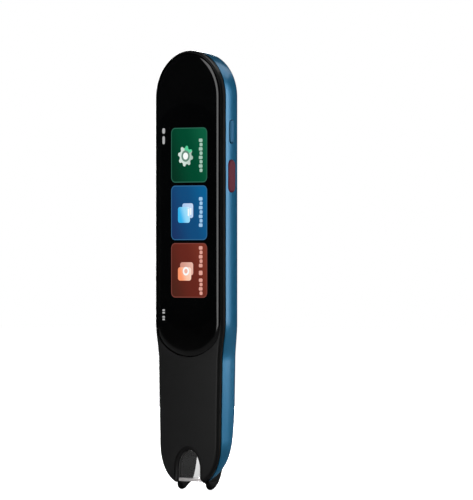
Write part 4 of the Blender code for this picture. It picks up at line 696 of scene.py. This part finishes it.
def arch_outline(margin, bottom):
    """Half an ellipse on top of two straight sides: half width times cosine, height times sine."""
    a = np.linspace(0.0, math.pi, 49)
    spring = ARCH_TOP + ARCH_HEIGHT
    arc = np.stack([(ARCH_HALF + margin) * np.cos(a), spring - (ARCH_HEIGHT + margin) * np.sin(a)], axis=1)
    return np.concatenate([arc, [[-ARCH_HALF - margin, bottom], [ARCH_HALF + margin, bottom]]])


def arch_opening():
    """The arch with its sides turned outwards at the foot along a quarter ellipse."""
    t = np.linspace(0.0, math.pi / 2, 12)
    half = ARCH_HALF + ARCH_FLARE_STEP * (1 - np.cos(t))
    down = ARCH_FLARE_DOWN + ARCH_FLARE_LENGTH * np.sin(t)
    flare = np.concatenate([np.stack([half, down], 1), [[ARCH_HALF + ARCH_FLARE_STEP, BELOW]]])
    return np.concatenate([arch_outline(0.0, ARCH_FLARE_DOWN)[:-2], flare * [-1.0, 1.0], flare[::-1]])


def glass_rays():
    """The cap and sides pulled in by the inset, then an arc that bulges down.

    Each arc ray reaches 1 / (1/arc^p + 1/side^p)^(1/p), which follows the nearer of the two and
    rounds the corner where they meet.
    """
    centre = GLASS_BOTTOM - GLASS_ARC
    down = np.linspace(WIDTH / 2, centre, BODY_RAYS, endpoint=False)
    a = np.linspace(0.0, math.pi / 2, 61)
    across = np.maximum(np.cos(a), 1e-9)
    reach = np.full_like(a, GLASS_ARC)
    for _ in range(12):
        to_side = (half_width(centre + reach * np.sin(a)) - GLASS_INSET) / across
        reach = GLASS_ARC / (1.0 + (GLASS_ARC / to_side) ** GLASS_CORNER_POWER) ** (1 / GLASS_CORNER_POWER)
    across[-1] = 0.0
    arc = np.stack([np.full_like(a, centre), across, np.sin(a), reach], axis=1)
    return np.concatenate([cap_rays(GLASS_INSET), side_rays(down, GLASS_INSET), arc])


def face_normals(piece):
    """The way that each face of a piece looks, as rows of x, y and z."""
    normals = np.empty(3 * len(piece.data.polygons))
    piece.data.polygons.foreach_get("normal", normals)
    return normals.reshape(-1, 3)


GLASS_RAYS = glass_rays()
front_frame = loft("front_frame_black", front_grid, *BLACK_CASING, mirrored=True)
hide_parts("front_shell")
print("front frame grid:", front_grid.shape, "and rays round half of the glass:", len(GLASS_RAYS))

# %% [markdown]
# ### The glass bed, the arch and its rim
# The frame is cut four times: a bed for the glass, room behind the lip, the arch of the scanning window
# and a step round it in a darker black. The faces that look sideways are left matt, as the mould parts there,
# so that no grey line of light runs down beside the blue.

# %% Cuts in the front frame
BED_GAP, BED_DEPTH, ROOM_HALF, ROOM_TOP, SIDEWAYS = 0.12, 1.15, 20.0 * MM, 148.0 * MM, 0.85

bed = loops(GLASS_RAYS, *steps([(-BED_GAP, BEFORE / MM), (-BED_GAP, BED_DEPTH)]))
cut(front_frame, [bed], BLACK_ABS)
tunnel = front_loops(arch_opening(), (BEFORE, 6.0 * MM))
rim_steps = ((ARCH_RIM, BEFORE), (ARCH_RIM, 0.12 * MM), (ARCH_RIM - 0.2 * MM, 0.25 * MM))
rim_steps += ((-0.1 * MM, ARCH_RIM_DEPTH),)
rim = np.stack([place(*arch_outline(margin, BELOW).T, depth) for margin, depth in rim_steps])
lip_room = [[-ROOM_HALF, ROOM_TOP], [ROOM_HALF, ROOM_TOP], [ROOM_HALF, BELOW], [-ROOM_HALF, BELOW]]
cut(front_frame, [front_loops(np.array(lip_room), (1.9 * MM, 9.0 * MM))], BLACK_ABS)
cut(front_frame, [tunnel], BLACK_ABS)
cut(front_frame, [rim], RIM_BLACK)
front_frame.data.materials.append(FORK_BLACK)
indices = np.empty(len(front_frame.data.polygons), dtype=np.int32)
front_frame.data.polygons.foreach_get("material_index", indices)
indices[np.abs(face_normals(front_frame)[:, 0]) > SIDEWAYS] = len(front_frame.data.materials) - 1
front_frame.data.polygons.foreach_set("material_index", indices)
print("front frame faces:", len(front_frame.data.polygons))

# %% [markdown]
# ## The cover glass
# The glass stands level with the frame, and its edge is ground to a long soft curve all round, so a
# bright line of window light runs along it. A bevel would make the line even, but the ground edge is a
# quarter ellipse, over three times as wide as it is deep, and that is what the line shows.

# %% Cover glass
GLASS_EDGE, GLASS_DROP, GLASS_THICKNESS, FACE_DEPTH = 2.3, 0.65, 0.85, 0.02
glass_pairs = (quarter_round(GLASS_EDGE, GLASS_DROP, 14) + [0.0, FACE_DEPTH]).tolist()
glass_pairs += [(0.0, 0.75), (0.1, GLASS_THICKNESS)]
glass_grid = loops(GLASS_RAYS, *steps(glass_pairs))
cover_glass = loft("cover_glass", glass_grid, GLASS_BLACK, "casing", "printed_black_glass", mirrored=True)
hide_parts("front_glass")
print("cover glass faces:", len(cover_glass.data.polygons))

# %% [markdown]
# ## The picture on the screen
# The display shows three rounded tiles, each with a drawing and blocks where a label would be, and small
# marks for the battery and the clock. They are plates a few hundredths of a millimetre proud of the
# glass, lit from within, with the same gloss over them as the glass has. An image on the glass would be
# quicker, but plates keep their edges sharp however near the camera comes.

# %% Lit finishes
GRADIENT = (1.0, 0.0, 0.35)


def lit(name, stops, low=-1.0, high=1.0):
    """A glowing finish whose colour runs along the gradient's direction from low to high, both in metres."""
    material, shader = finish(name, "020202", Roughness=0.06, IOR=1.5)
    start = node(material, "ShaderNodeTexCoord").outputs["Object"]
    dot = node(material, "ShaderNodeVectorMath", {"operation": "DOT_PRODUCT"}, _0=start, _1=GRADIENT)
    share = node(material, "ShaderNodeMapRange", Value=dot.outputs["Value"], From_Min=low, From_Max=high)
    ramp = node(material, "ShaderNodeValToRGB", Fac=share.outputs["Result"])
    ramp.color_ramp.interpolation = "EASE"
    while len(ramp.color_ramp.elements) < len(stops):
        ramp.color_ramp.elements.new(0.5)
    for number, stop in enumerate(stops):
        ramp.color_ramp.elements[number].position = number / (len(stops) - 1)
        ramp.color_ramp.elements[number].color = colour(stop)
    material.node_tree.links.new(ramp.outputs["Color"], shader.inputs["Emission Color"])
    shader.inputs["Emission Strength"].default_value = 1.0
    return material


def span(down, start, end):
    """Where a gradient runs, round a point that far down the pen, all in mm: the point's own share of the
    direction's dot product, plus the start and the end."""
    middle = (LENGTH - down * MM) * GRADIENT[2]
    return middle + start * MM, middle + end * MM


print("the tiles' colours run along", GRADIENT)

# %% [markdown]
# ### Flat shapes
# Everything on the screen is made of three outlines: a rounded rectangle, a circle or a gear, and the
# panel's own. A plate gives any of them a thickness, so it is a solid that also exports as one.

# %% Flat shapes
PLATE_BACK, SCREEN_DEPTH = 0.04 * MM, 0.012 * MM
BORDER_DEPTH, TILE_DEPTH, STEP_UP = 0.008 * MM, 0.004 * MM, 0.004 * MM
SCREEN_HALF, SCREEN_ARC, SCREEN_TOP, SCREEN_BOTTOM = 13.55, 20.0, 18.8, 100.4
RIPPLE_POINTS = 112


def plate(name, outlines, depth, material):
    """Flat shapes of the screen's picture: each outline is a thin plate whose face is at the depth."""
    grids = [front_loops(outline, (depth, PLATE_BACK)) for outline in outlines]
    return to_object(name, *stacked(grids), material, "casing", "printed_black_glass")


def rounded(left, right, top, bottom, radius):
    """A rectangle whose corners are quarter circles: a centre plus the radius times cosine and sine."""
    a = np.linspace(0.0, math.pi / 2, 8)
    parts = []
    for x, y, turn in (
        (right - radius, top + radius, -1),
        (right - radius, bottom - radius, 0),
        (left + radius, bottom - radius, 1),
        (left + radius, top + radius, 2),
    ):
        turned_by = a + turn * math.pi / 2
        parts.append(np.stack([x + radius * np.cos(turned_by), y + radius * np.sin(turned_by)], 1))
    return np.concatenate(parts) * MM


def wavy(across, down, radius, wave=0.0, lobes=8):
    """A gear's edge: the radius plus a flattened sine wave, tanh(2 sin) over the lobes. No wave, a circle."""
    a = np.linspace(0.0, 2 * math.pi, RIPPLE_POINTS, endpoint=False)
    r = radius + wave * np.tanh(2.0 * np.sin(lobes * a))
    return np.stack([across + r * np.cos(a), down + r * np.sin(a)], 1) * MM


def screen_outline():
    """Two straight sides between an arc at the top and one at the bottom: R - sqrt(R² - x²), in mm."""
    x = np.linspace(-SCREEN_HALF, SCREEN_HALF, 31)
    rise = SCREEN_ARC - np.sqrt(SCREEN_ARC * SCREEN_ARC - x * x)
    top, bottom = np.stack([x, SCREEN_TOP + rise], 1), np.stack([x[::-1], SCREEN_BOTTOM - rise[::-1]], 1)
    return np.concatenate([top, bottom]) * MM


plate("screen_panel", [screen_outline()], SCREEN_DEPTH, SCREEN_BLACK)
print("screen panel in mm:", 2 * SCREEN_HALF, "by", round(SCREEN_BOTTOM - SCREEN_TOP, 1))

# %% Tiles
TILE_LEFT, TILE_RIGHT, TILE_CORNER, BORDER, RUN_OUT = -8.5, 9.44, 1.9, 0.32, 3.0
TILES = (
    ("green", 27.8, 47.5, ("04301f", "00462d", "0c5c3e"), "2a6350"),
    ("blue", 48.6, 68.2, ("1a3260", "114a7a", "0b5f92"), "2f6690"),
    ("red", 69.3, 88.9, ("4a231a", "64261d", "7a3527"), "7c4038"),
)
for name, top, bottom, shades, border in TILES:
    ends = span((top + bottom) / 2, TILE_LEFT - RUN_OUT, TILE_RIGHT + RUN_OUT)
    edge = rounded(TILE_LEFT, TILE_RIGHT, top, bottom, TILE_CORNER)
    across, down = (TILE_LEFT + BORDER, TILE_RIGHT - BORDER), (top + BORDER, bottom - BORDER)
    inside = rounded(*across, *down, TILE_CORNER - BORDER)
    border_glow = lit(name + "_tile_border_lit", (border, border), *ends)
    plate(name + "_tile_border", [edge], BORDER_DEPTH, border_glow)
    plate(name + "_tile", [inside], TILE_DEPTH, lit(name + "_tile_lit", shades, *ends))
print("tiles:", [tile[0] for tile in TILES])

# %% [markdown]
# ### Drawings on the tiles
# Each tile has a plain drawing: a gear for the settings, a card over a card, and a ring on two squares.
# Every layer of a drawing stands one small step higher than the layer that it covers.

# %% Drawings on the tiles
GEAR_ACROSS, GEAR_DOWN, CARD_DOWN, SQUARE_ACROSS, SQUARE_DOWN = -1.3, 38.0, 58.6, -1.1, 79.4
GEAR_QUARTER = slice(80, 104)
grey_green = lit("gear_lit", ("d4e4dc", "9db5a8"), *span(GEAR_DOWN, -4.5, 4.5))
bright_green = lit("gear_corner_lit", ("4cbf8c", "5fd3a0"), *span(GEAR_DOWN, -4.5, 4.5))
pale = lit("white_lit", ("ffffff", "f4faf8"))
gear = wavy(GEAR_ACROSS, GEAR_DOWN, 3.35, 0.42)
plate("gear_drawing", [gear], 0.0, grey_green)
corner = np.concatenate([gear[GEAR_QUARTER], [[GEAR_ACROSS * MM, GEAR_DOWN * MM]]])
plate("gear_corner", [corner], -STEP_UP / 2, bright_green)
ring_green = lit("gear_ring_lit", ("5f7c6e", "6f9584"))
plate("gear_ring", [wavy(GEAR_ACROSS, GEAR_DOWN, 2.05)], -STEP_UP, ring_green)
plate("gear_hub", [wavy(GEAR_ACROSS, GEAR_DOWN, 1.25)], -2 * STEP_UP, pale)

card_back = lit("card_back_lit", ("9cc4ec", "c6d8f4"), *span(CARD_DOWN, -4.0, 4.0))
card_front = lit("card_front_lit", ("35b4ee", "9adcfa", "e6f7ff"), *span(CARD_DOWN, -4.5, 2.5))
plate("card_back", [rounded(-2.9, 2.5, 55.0, 60.3, 0.9)], 0.0, card_back)
plate("card_front", [rounded(-5.1, 0.9, 56.3, 62.0, 0.9)], -STEP_UP, card_front)
bars = [rounded(-0.2, 0.5, 57.0, 59.6, 0.3), rounded(1.0, 1.6, 56.6, 59.2, 0.3)]
plate("card_lines", bars, -2 * STEP_UP, pale)

square_back = lit("square_back_lit", ("d09080", "e8b8a8"), *span(SQUARE_DOWN, -4.0, 4.0))
square_front = lit("square_front_lit", ("ff9a6c", "fcc8ac", "fae4d8"), *span(SQUARE_DOWN, -4.5, 2.5))
plate("square_back", [rounded(-4.0, 2.5, 76.2, 80.9, 1.0)], 0.0, square_back)
plate("square_front", [rounded(-5.1, 1.5, 78.0, 82.8, 1.0)], -STEP_UP, square_front)
plate("lens_ring", [wavy(SQUARE_ACROSS, SQUARE_DOWN, 1.55)], -2 * STEP_UP, pale)
lens_pink = lit("lens_middle_lit", ("f0b09c", "f0b8a6"))
plate("lens_middle", [wavy(SQUARE_ACROSS, SQUARE_DOWN, 0.85)], -3 * STEP_UP, lens_pink)
print("drawings stand", round((FACE_DEPTH + 3 * STEP_UP / MM), 3), "mm proud of the glass at most")

# %% [markdown]
# ### Blocks and marks
# Beside each drawing a column of small blocks fills the place of a label, and two marks near the edge
# fill those of a battery sign and a clock. They are plain, and dimmer than the drawings.

# %% Label blocks and status marks
BLOCK_LEFT, BLOCK_RIGHT, BLOCK_GAP, BLOCK_STEP = 5.35, 7.15, 0.3, 0.35


def blocks(top, bottom, count):
    """Rounded blocks of one length between top and bottom, a gap apart, every other one a little narrower."""
    pitch = (bottom - top + BLOCK_GAP) / count
    column = []
    for i, start in enumerate(top + pitch * np.arange(count)):
        left = BLOCK_LEFT + BLOCK_STEP * (i % 2)
        column.append(rounded(left, BLOCK_RIGHT, start, start + pitch - BLOCK_GAP, 0.4))
    return column


for name, tint, spans in (
    ("green", "a3c4b4", ((31.8, 43.8, 8),)),
    ("blue", "9fc8ea", ((52.8, 63.5, 7),)),
    ("red", "e0a294", ((70.4, 78.0, 5), (79.2, 80.8, 1), (82.0, 87.9, 4))),
):
    bars = [block for top, bottom, count in spans for block in blocks(top, bottom, count)]
    plate(name + "_label_bar", bars, 0.0, lit(name + "_label_lit", (tint, tint)))
battery_mark = [rounded(-13.0, -11.6, 27.8, 29.8, 0.65), rounded(-12.9, -11.7, 30.7, 33.6, 0.55)]
clock_mark = [rounded(-12.9, -11.7, start, start + 0.62, 0.2) for start in (93.2, 94.1, 95.6, 96.5)]
plate("status_marks", battery_mark + clock_mark, TILE_DEPTH, lit("status_lit", ("a8a8a8", "b4b4b4")))
print("status marks:", len(battery_mark + clock_mark))

# %% [markdown]
# ## Keys
# The keys are moulded with a soft edge, stand a little proud of the side and slide in when pressed. A
# flange behind the wall keeps them from falling out. Each is a stadium drawn at several places across
# the pen, so the gap round it stays even.

# %% Keys
KEY_PROUD, KEY_ROUNDING, KEY_TOP_STEP = 0.33 * MM, 0.45 * MM, 0.02 * MM
KEY_FLANGE, FLANGE_BACK, FLANGE_FRONT = -0.8 * MM, 2.0 * MM, 1.75 * MM
WALL_ROWS = 12


def side_across(down, depth):
    """How far out the shell's side is at a depth, read off the section of the nearest ray."""
    sides = RAYS[CAP_RAYS : CAP_RAYS + BODY_RAYS + SHOULDER_RAYS + GRIP_RAYS, 0]
    column = CAP_RAYS + int(np.argmin(np.abs(sides - down)))
    inset = np.interp(depth, outer_depth[:WALL_ROWS, column], outer_inset[:WALL_ROWS, column])
    return RAYS[column, 3] - float(inset)


def key(name, replaced, body, size, material, slot):
    """A slide key: a stadium-shaped cap whose edge is a quarter round, with a flange that holds it in."""
    down, length, width = size
    outer = side_across(down, KEY_DEPTH) + KEY_PROUD
    rows = [(outer - FLANGE_BACK, KEY_FLANGE), (outer - FLANGE_FRONT, KEY_FLANGE)]
    rows += [(outer - FLANGE_FRONT, 0.0)]
    rows += [(outer - under, inset) for under, inset in quarter_round(KEY_ROUNDING, KEY_ROUNDING, 8)]
    rows += [(outer + KEY_TOP_STEP, 0.85 * MM)]
    outlines = [stadium(down, KEY_DEPTH, length - 2 * inset, width - 2 * inset) for _, inset in rows]
    grid = np.stack([place(x, *outline.T) for (x, _), outline in zip(rows, outlines)])
    piece = loft(name, grid, material, body, slot)
    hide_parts(replaced)


key("power_key_cap", "power_key", "power_key", POWER_KEY, KEY_LACQUER, "blue_lacquered_plastic")
key("function_key_cap", "function_key", "function_key", FUNCTION_KEY, RED_KEY, "red_plastic")
print("side of the shell at the keys, mm:", round(side_across(POWER_KEY[0], KEY_DEPTH) / MM, 2))

# %% [markdown]
# ## Charging port
# The port is a drawn steel tube round a black tongue that carries gold contacts, twelve in a row. The
# tube is one grid that closes on itself in both directions, so it has a bore and needs no caps.

# %% Charging port
PORT_OUTER, PORT_INNER = -(WIDTH / 2 - 0.8 * MM), -(WIDTH / 2 - 8.0 * MM)
CONTACTS, CONTACT_PITCH, CONTACT_WIDTH, FIRST_CONTACT = 12, 0.5, 0.24, -2.85
rows = [(PORT_INNER, 0.0), (PORT_OUTER + 0.12 * MM, 0.0), (PORT_OUTER, 0.08), (PORT_OUTER, 0.20)]
rows += [(PORT_OUTER + 0.14 * MM, 0.30), (PORT_INNER, 0.30)]
tube = []
for x, inset in rows:
    mouth = (PORT_LENGTH - 2 * inset * MM, PORT_WIDTH - 2 * inset * MM)
    tube.append(place(x, *stadium(PORT_DOWN, PORT_DEPTH, *mouth, 24).T))
tube = np.stack(tube)
tube_faces = (grid_faces(len(rows) + 1, tube.shape[1]) % (tube.size // 3)).tolist()
port = to_object("charging_port_tube", tube.reshape(-1, 3), tube_faces, SHEET_STEEL, "casing", "sheet_steel")
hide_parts("port_shell")


def box(name, across, down, depth, material, body, slot, edge=0.1):
    """A block with chamfered edges: four loops of eight corners run down the pen, each corner cut by the
    edge, and the first and last loop pulled in by it too."""
    (x0, x1), (d0, d1), (y0, y1) = across, down, depth
    rows = []
    for at, inset in ((d0, edge), (d0 + edge, 0.0), (d1 - edge, 0.0), (d1, edge)):
        left, right, front, back = x0 + inset, x1 - inset, y0 + inset, y1 - inset
        corners = [(left + edge, front), (right - edge, front), (right, front + edge), (right, back - edge)]
        corners += [(right - edge, back), (left + edge, back), (left, back - edge), (left, front + edge)]
        rows.append([(x, at, y) for x, y in corners])
    rows = np.array(rows) * MM
    return loft(name, place(rows[..., 0], rows[..., 1], rows[..., 2]), material, body, slot)


for number in range(CONTACTS):
    start = PORT_DOWN / MM + FIRST_CONTACT + CONTACT_PITCH * number
    size = (-14.3, -9.9), (start, start + CONTACT_WIDTH), (5.12, 5.88)
    box(f"port_contact_{number + 1}", *size, GOLD, "casing", "sheet_steel", edge=0.02)
print("port contacts:", CONTACTS)

# %% [markdown]
# ## The scanning nose
# A clear plate closes the arch in the front frame, with black ink on its edge and a frosted lip along
# its foot, whose pale colour is a painted reflection of floor light. Behind it slides the fork, and a
# small camera under the sloping roof reads the line of print between the fork's feet. The plate repeats
# the arch's own outline, a little smaller, so the line round it is even.

# %% Nose window
WINDOW_BOTTOM, WINDOW_FRONT, WINDOW_BACK, WINDOW_MARGIN, BEVEL = 153.7, 0.6, 1.6, -0.3, 0.1
LIP_HALF, LIP_TOP, LIP_BOTTOM = 5.4, 153.8, 155.0
window_rows = []
for depth, inset in (
    (WINDOW_FRONT, BEVEL),
    (WINDOW_FRONT + BEVEL, 0),
    (WINDOW_BACK - BEVEL, 0),
    (WINDOW_BACK, BEVEL),
):
    outline = arch_outline((WINDOW_MARGIN - inset) * MM, (WINDOW_BOTTOM - inset) * MM)
    window_rows.append(place(outline[:, 0], outline[:, 1], depth * MM))
window = loft("nose_window_plate", np.stack(window_rows), CLEAR_ACRYLIC, "casing", "clear_acrylic")
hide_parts("nose_window")
window.data.materials.append(RIM_BLACK)
inked = np.abs(face_normals(window)[:, 1]) < 0.5
window.data.polygons.foreach_set("material_index", inked.astype(np.int32))
lip = (-LIP_HALF, LIP_HALF), (LIP_TOP, LIP_BOTTOM), (WINDOW_FRONT, WINDOW_BACK)
# The lip's pale colour is painted light: a reflection of the floor along the window's foot.
box("nose_window_lip", *lip, FROSTED_LIP_PAINTED_REFLECTION, "casing", "clear_acrylic", edge=0.15)
print("nose window faces:", len(window.data.polygons), "of them on its inked edge:", int(inked.sum()))

# %% [markdown]
# ## The fork
# Two flat legs end in round feet, and pressed on paper they slide in and switch the scanner on. Each leg
# has a flange behind the frame's edge and an arm that runs up to a bridge inside. The feet could be
# balls, but real ones are squarish and lean forward, so each runs through a row of sections.

# %% Fork
FORK = (FORK_BLACK, "scan_fork", "satin_black_plastic")
LEG_FRONT, LEG_INNER, LEG_OUTER, LEG_TOP, LEG_CHAMFER = 2.2, 5.8, 7.3, 143.0, 0.12
LEG_CORNER_DEPTH, LEG_CORNER_DOWN, LEG_CORNER = 9.2, 145.0, 2.0
LEG_BACK = ((11.2, 146.0), (11.05, 147.2), (10.65, 149.2), (10.15, 151.3), (9.45, 153.4), (8.7, 154.6))
LEG_END = ((7.6, 155.4), (6.5, 156.2), (3.2, 156.2), (LEG_FRONT, 155.4))
FOOT_ACROSS, FOOT_HALF, FOOT_POWER, FOOT_TOP, TIP_DOWN = 7.1, 1.3, 0.8, 154.6, 157.0
FOOT_DOWNS = (FOOT_TOP, 155.2, 155.9, 156.7, 157.4, 157.8, 158.0)
FOOT_SHARES = (0.6, 0.9, 1.0, 1.0, 0.85, 0.6, 0.3)
FOOT_FRONTS = (2.3, 2.2, 2.25, 2.4, 2.75, 3.2, 3.8)
FOOT_BACKS = (8.7, 8.2, 7.4, 6.6, 5.7, 5.0, 4.4)


def pulled_in(outline, distance):
    """An outline moved in by a distance: each corner goes along the middle of its two edges' normals."""
    before, after = outline - np.roll(outline, 1, axis=0), np.roll(outline, -1, axis=0) - outline
    before /= np.linalg.norm(before, axis=1)[:, None]
    after /= np.linalg.norm(after, axis=1)[:, None]
    normals = np.stack([-(before + after)[:, 1], (before + after)[:, 0]], 1)
    normals /= (1.0 + (before * after).sum(axis=1))[:, None]
    area = np.sum(outline[:, 0] * np.roll(outline[:, 1], -1) - outline[:, 1] * np.roll(outline[:, 0], -1))
    return outline + normals * distance * np.sign(area)


def foot_grid(sign):
    """Squarish ellipses, |x|^2.5 + |y|^2.5 = 1, whose sizes are read between the foot's sections.

    The loops lie evenly down to the tip, and from there at a sine's heights, so they crowd at its end.
    """
    angle = np.linspace(0.0, 2 * math.pi, 40, endpoint=False)
    out = np.sign(np.cos(angle)) * np.abs(np.cos(angle)) ** FOOT_POWER
    along = np.sign(np.sin(angle)) * np.abs(np.sin(angle)) ** FOOT_POWER
    down = np.linspace(FOOT_TOP, TIP_DOWN, 9, endpoint=False)
    down = np.concatenate([down, TIP_DOWN + np.sin(np.linspace(0, 1.56, 12))])
    sections = (FOOT_SHARES, FOOT_FRONTS, FOOT_BACKS)
    share, front, back = (np.interp(down, FOOT_DOWNS, row)[:, None] for row in sections)
    across = sign * FOOT_ACROSS + FOOT_HALF * share * out
    return place(across * MM, down[:, None] * MM, ((front + back) / 2 + (back - front) / 2 * along) * MM)


a = np.linspace(0.0, math.pi / 2, 13)
corner_depth = LEG_CORNER_DEPTH + LEG_CORNER * np.sin(a)
leg_corner = np.stack([corner_depth, LEG_CORNER_DOWN - LEG_CORNER * np.cos(a)], 1)
leg_outline = np.concatenate([[[LEG_FRONT, LEG_TOP]], leg_corner, LEG_BACK, LEG_END])
leg_steps = ((LEG_INNER, LEG_CHAMFER), (LEG_INNER + LEG_CHAMFER, 0.0))
leg_steps += ((LEG_OUTER - LEG_CHAMFER, 0.0), (LEG_OUTER, LEG_CHAMFER))
for side, sign in (("left", -1.0), ("right", 1.0)):
    rows = []
    for across, inset in leg_steps:
        outline = pulled_in(leg_outline, inset) * MM
        rows.append(place(sign * across * MM, outline[:, 1], outline[:, 0]))
    leg = loft(f"fork_leg_{side}", np.stack(rows), *FORK)
    if side == "left":
        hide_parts("scan_fork")
    loft(f"fork_foot_{side}", foot_grid(sign), *FORK, flat_over=60.0)
    flange, arm = sorted((sign * 6.3, sign * 7.9)), sorted((sign * 6.95, sign * 8.45))
    box(f"fork_flange_{side}", flange, (143.3, 155.0), (LEG_FRONT + 0.1, 4.6), *FORK)
    box(f"fork_arm_{side}", arm, (124.0, 144.6), (4.8, 7.8), *FORK)
box("fork_bridge", (-8.4, 8.4), (122.7, 125.1), (4.85, 7.75), *FORK)
print("fork corners on each leg:", len(leg_outline))

# %% [markdown]
# ## The scanning camera
# The barrel and the lens are turned parts, so each is a profile carried round an axis. The barrel has
# two shallow grooves, and the lens is a dome: a quarter of an ellipse, spun.

# %% Scanning camera
BARREL_DEPTH, LENS_RADIUS = 8.3, 1.7
BARREL = ((135.9, 1.9), (136.05, 2.1), (137.0, 2.1), (137.1, 2.0), (137.3, 2.0), (137.4, 2.1))
BARREL += ((138.2, 2.1), (138.3, 2.0), (138.5, 2.0), (138.6, 2.1), (139.35, 2.1), (139.5, 1.95))


def turned(name, replaced, profile, material, slot):
    """A turned part: circles down the pen, one for each (down, radius) pair of its profile, in mm."""
    rows = []
    for down, radius in profile:
        ring = circle(0.0, BARREL_DEPTH * MM, radius * MM, 40)
        rows.append(place(ring[:, 0], down * MM, ring[:, 1]))
    piece = loft(name, np.stack(rows), material, "casing", slot)
    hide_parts(replaced)


turned("camera_barrel_turned", "camera_barrel", BARREL, EPOXY, "moulded_epoxy")
lens_low, lens_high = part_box("camera_lens")
lens_crown, lens_height = (LENGTH - lens_high[2]) / MM, (lens_high[2] - lens_low[2]) / MM
a = np.linspace(0.0, math.pi / 2 * 0.97, 14)
dome = [(lens_crown + lens_height * math.sin(x), LENS_RADIUS * math.cos(x)) for x in a]
turned("camera_lens_dome", "camera_lens", dome, LENS_GLASS, "printed_black_glass")
print("lens height in mm:", round(lens_height, 2))

# %% [markdown]
# ## The studio
# The pen stands on a plain white floor, and its soft shadow falls on it. To the camera the floor also
# glows, over half as bright as the backdrop at the pen's feet and as bright from 25 cm out, so that the
# two meet without a line. A bend of white paper would do that in a real studio, but needs more light.

# %% Floor
FLOOR_SIZE, GLOW_START, GLOW_FULL = 3.0, -0.30, 0.25
floor_mesh = bpy.data.meshes.new("white_floor")
corners = np.array([[-1, -1, 0], [1, -1, 0], [1, 1, 0], [-1, 1, 0]]) * FLOOR_SIZE
floor_mesh.from_pydata(corners.tolist(), [], [(0, 1, 2, 3)])
# Painted board: matt, so it takes a shadow and mirrors nothing. In the pen's own gloss it is a dim grey.
FLOOR = grained(
    "matt_white_studio_board", "f2f2f2", 4.0 * MM, ("f0f0f0", "f5f5f5"), (0.85, 0.95),
    Roughness=0.9, IOR=1.3,
)
floor_place = node(FLOOR, "ShaderNodeTexCoord").outputs["Object"]
from_pen = node(FLOOR, "ShaderNodeVectorMath", {"operation": "LENGTH"}, _0=floor_place).outputs["Value"]
smooth = {"interpolation_type": "SMOOTHSTEP"}
outward = node(FLOOR, "ShaderNodeMapRange", smooth, Value=from_pen, From_Min=GLOW_START, From_Max=GLOW_FULL)
ray = node(FLOOR, "ShaderNodeLightPath").outputs
either, both = {"operation": "MAXIMUM"}, {"operation": "MULTIPLY"}
looked_at = node(FLOOR, "ShaderNodeMath", either, _0=ray["Is Camera Ray"], _1=ray["Is Transmission Ray"])
seen = node(FLOOR, "ShaderNodeMath", both, _0=outward.outputs["Result"], _1=looked_at.outputs["Value"])
glow = node(FLOOR, "ShaderNodeEmission", Color=colour("ffffff"), Strength=seen.outputs["Value"])
dim = node(FLOOR, "ShaderNodeBsdfDiffuse", Color=colour("707070")).outputs[0]
matt = FLOOR.node_tree.nodes["Principled BSDF"].outputs[0]
board = node(FLOOR, "ShaderNodeMixShader", _0=ray["Is Glossy Ray"], _1=matt, _2=dim)
glowing = node(FLOOR, "ShaderNodeAddShader", _0=board.outputs["Shader"], _1=glow.outputs[0])
show(FLOOR, glowing.outputs["Shader"])
floor_mesh.materials.append(FLOOR)
floor = add_object("white_floor", floor_mesh)
print("floor in m:", 2 * FLOOR_SIZE, "square")

# %% [markdown]
# ### Backdrop and lamps
# The camera meets a white backdrop, straight or through clear plastic. Everything else meets a dark
# room, because black glass that mirrored a white one would look grey. Six soft boxes light the pen: the
# wide ones give the lacquer its sweep of light, and the narrow ones draw the lines along the edges.

# %% Backdrop light
world = bpy.data.worlds.new("white_backdrop")
world.use_nodes = True
bpy.context.scene.world = world
backdrop = world.node_tree.nodes["Background"]
backdrop.inputs["Color"].default_value = colour("ffffff")
backdrop.inputs["Strength"].default_value = 1.0
room = node(world, "ShaderNodeBackground", Color=colour("26292c"), Strength=1.0).outputs["Background"]
ray = node(world, "ShaderNodeLightPath").outputs
straight = node(world, "ShaderNodeMath", either, _0=ray["Is Camera Ray"], _1=ray["Is Transmission Ray"])
white = backdrop.outputs["Background"]
choose = node(world, "ShaderNodeMixShader", _0=straight.outputs["Value"], _1=room, _2=white)
show(world, choose.outputs["Shader"], "World Output")
print("backdrop:", world.name)


# %% Soft boxes
def soft_box(name, azimuth, elevation, distance, width, height, power):
    """A rectangular lamp turned to face the pen's middle: at a distance times the sine and cosine of its
    angle round the pen, and raised by the distance times the sine of its angle above the floor."""
    lamp = bpy.data.lights.new(name, "AREA")
    lamp.shape, lamp.size, lamp.size_y, lamp.energy = "RECTANGLE", width, height, power
    holder = add_object(name, lamp)
    a, e = math.radians(azimuth), math.radians(elevation)
    level = distance * math.cos(e)
    holder.location = (level * math.sin(a), -level * math.cos(a), LENGTH / 2 + distance * math.sin(e))
    holder.rotation_euler = (math.pi / 2 - e, 0.0, a)


soft_box("right_soft_box", 95.0, 8.0, 1.0, 0.30, 0.9, 2.5)
soft_box("edge_soft_box", -28.0, 5.0, 1.2, 0.30, 1.0, 2.6)
soft_box("side_soft_box", 136.5, 6.0, 1.0, 0.32, 0.9, 3.2)
soft_box("left_soft_box", -122.0, 6.0, 1.0, 0.60, 1.0, 25.0)
soft_box("top_soft_box", 40.0, 75.0, 1.0, 0.7, 0.7, 5.0)
soft_box("cap_soft_box", 172.0, 40.0, 1.0, 0.5, 0.35, 0.6)
bpy.context.scene.view_settings.view_transform = "Standard"
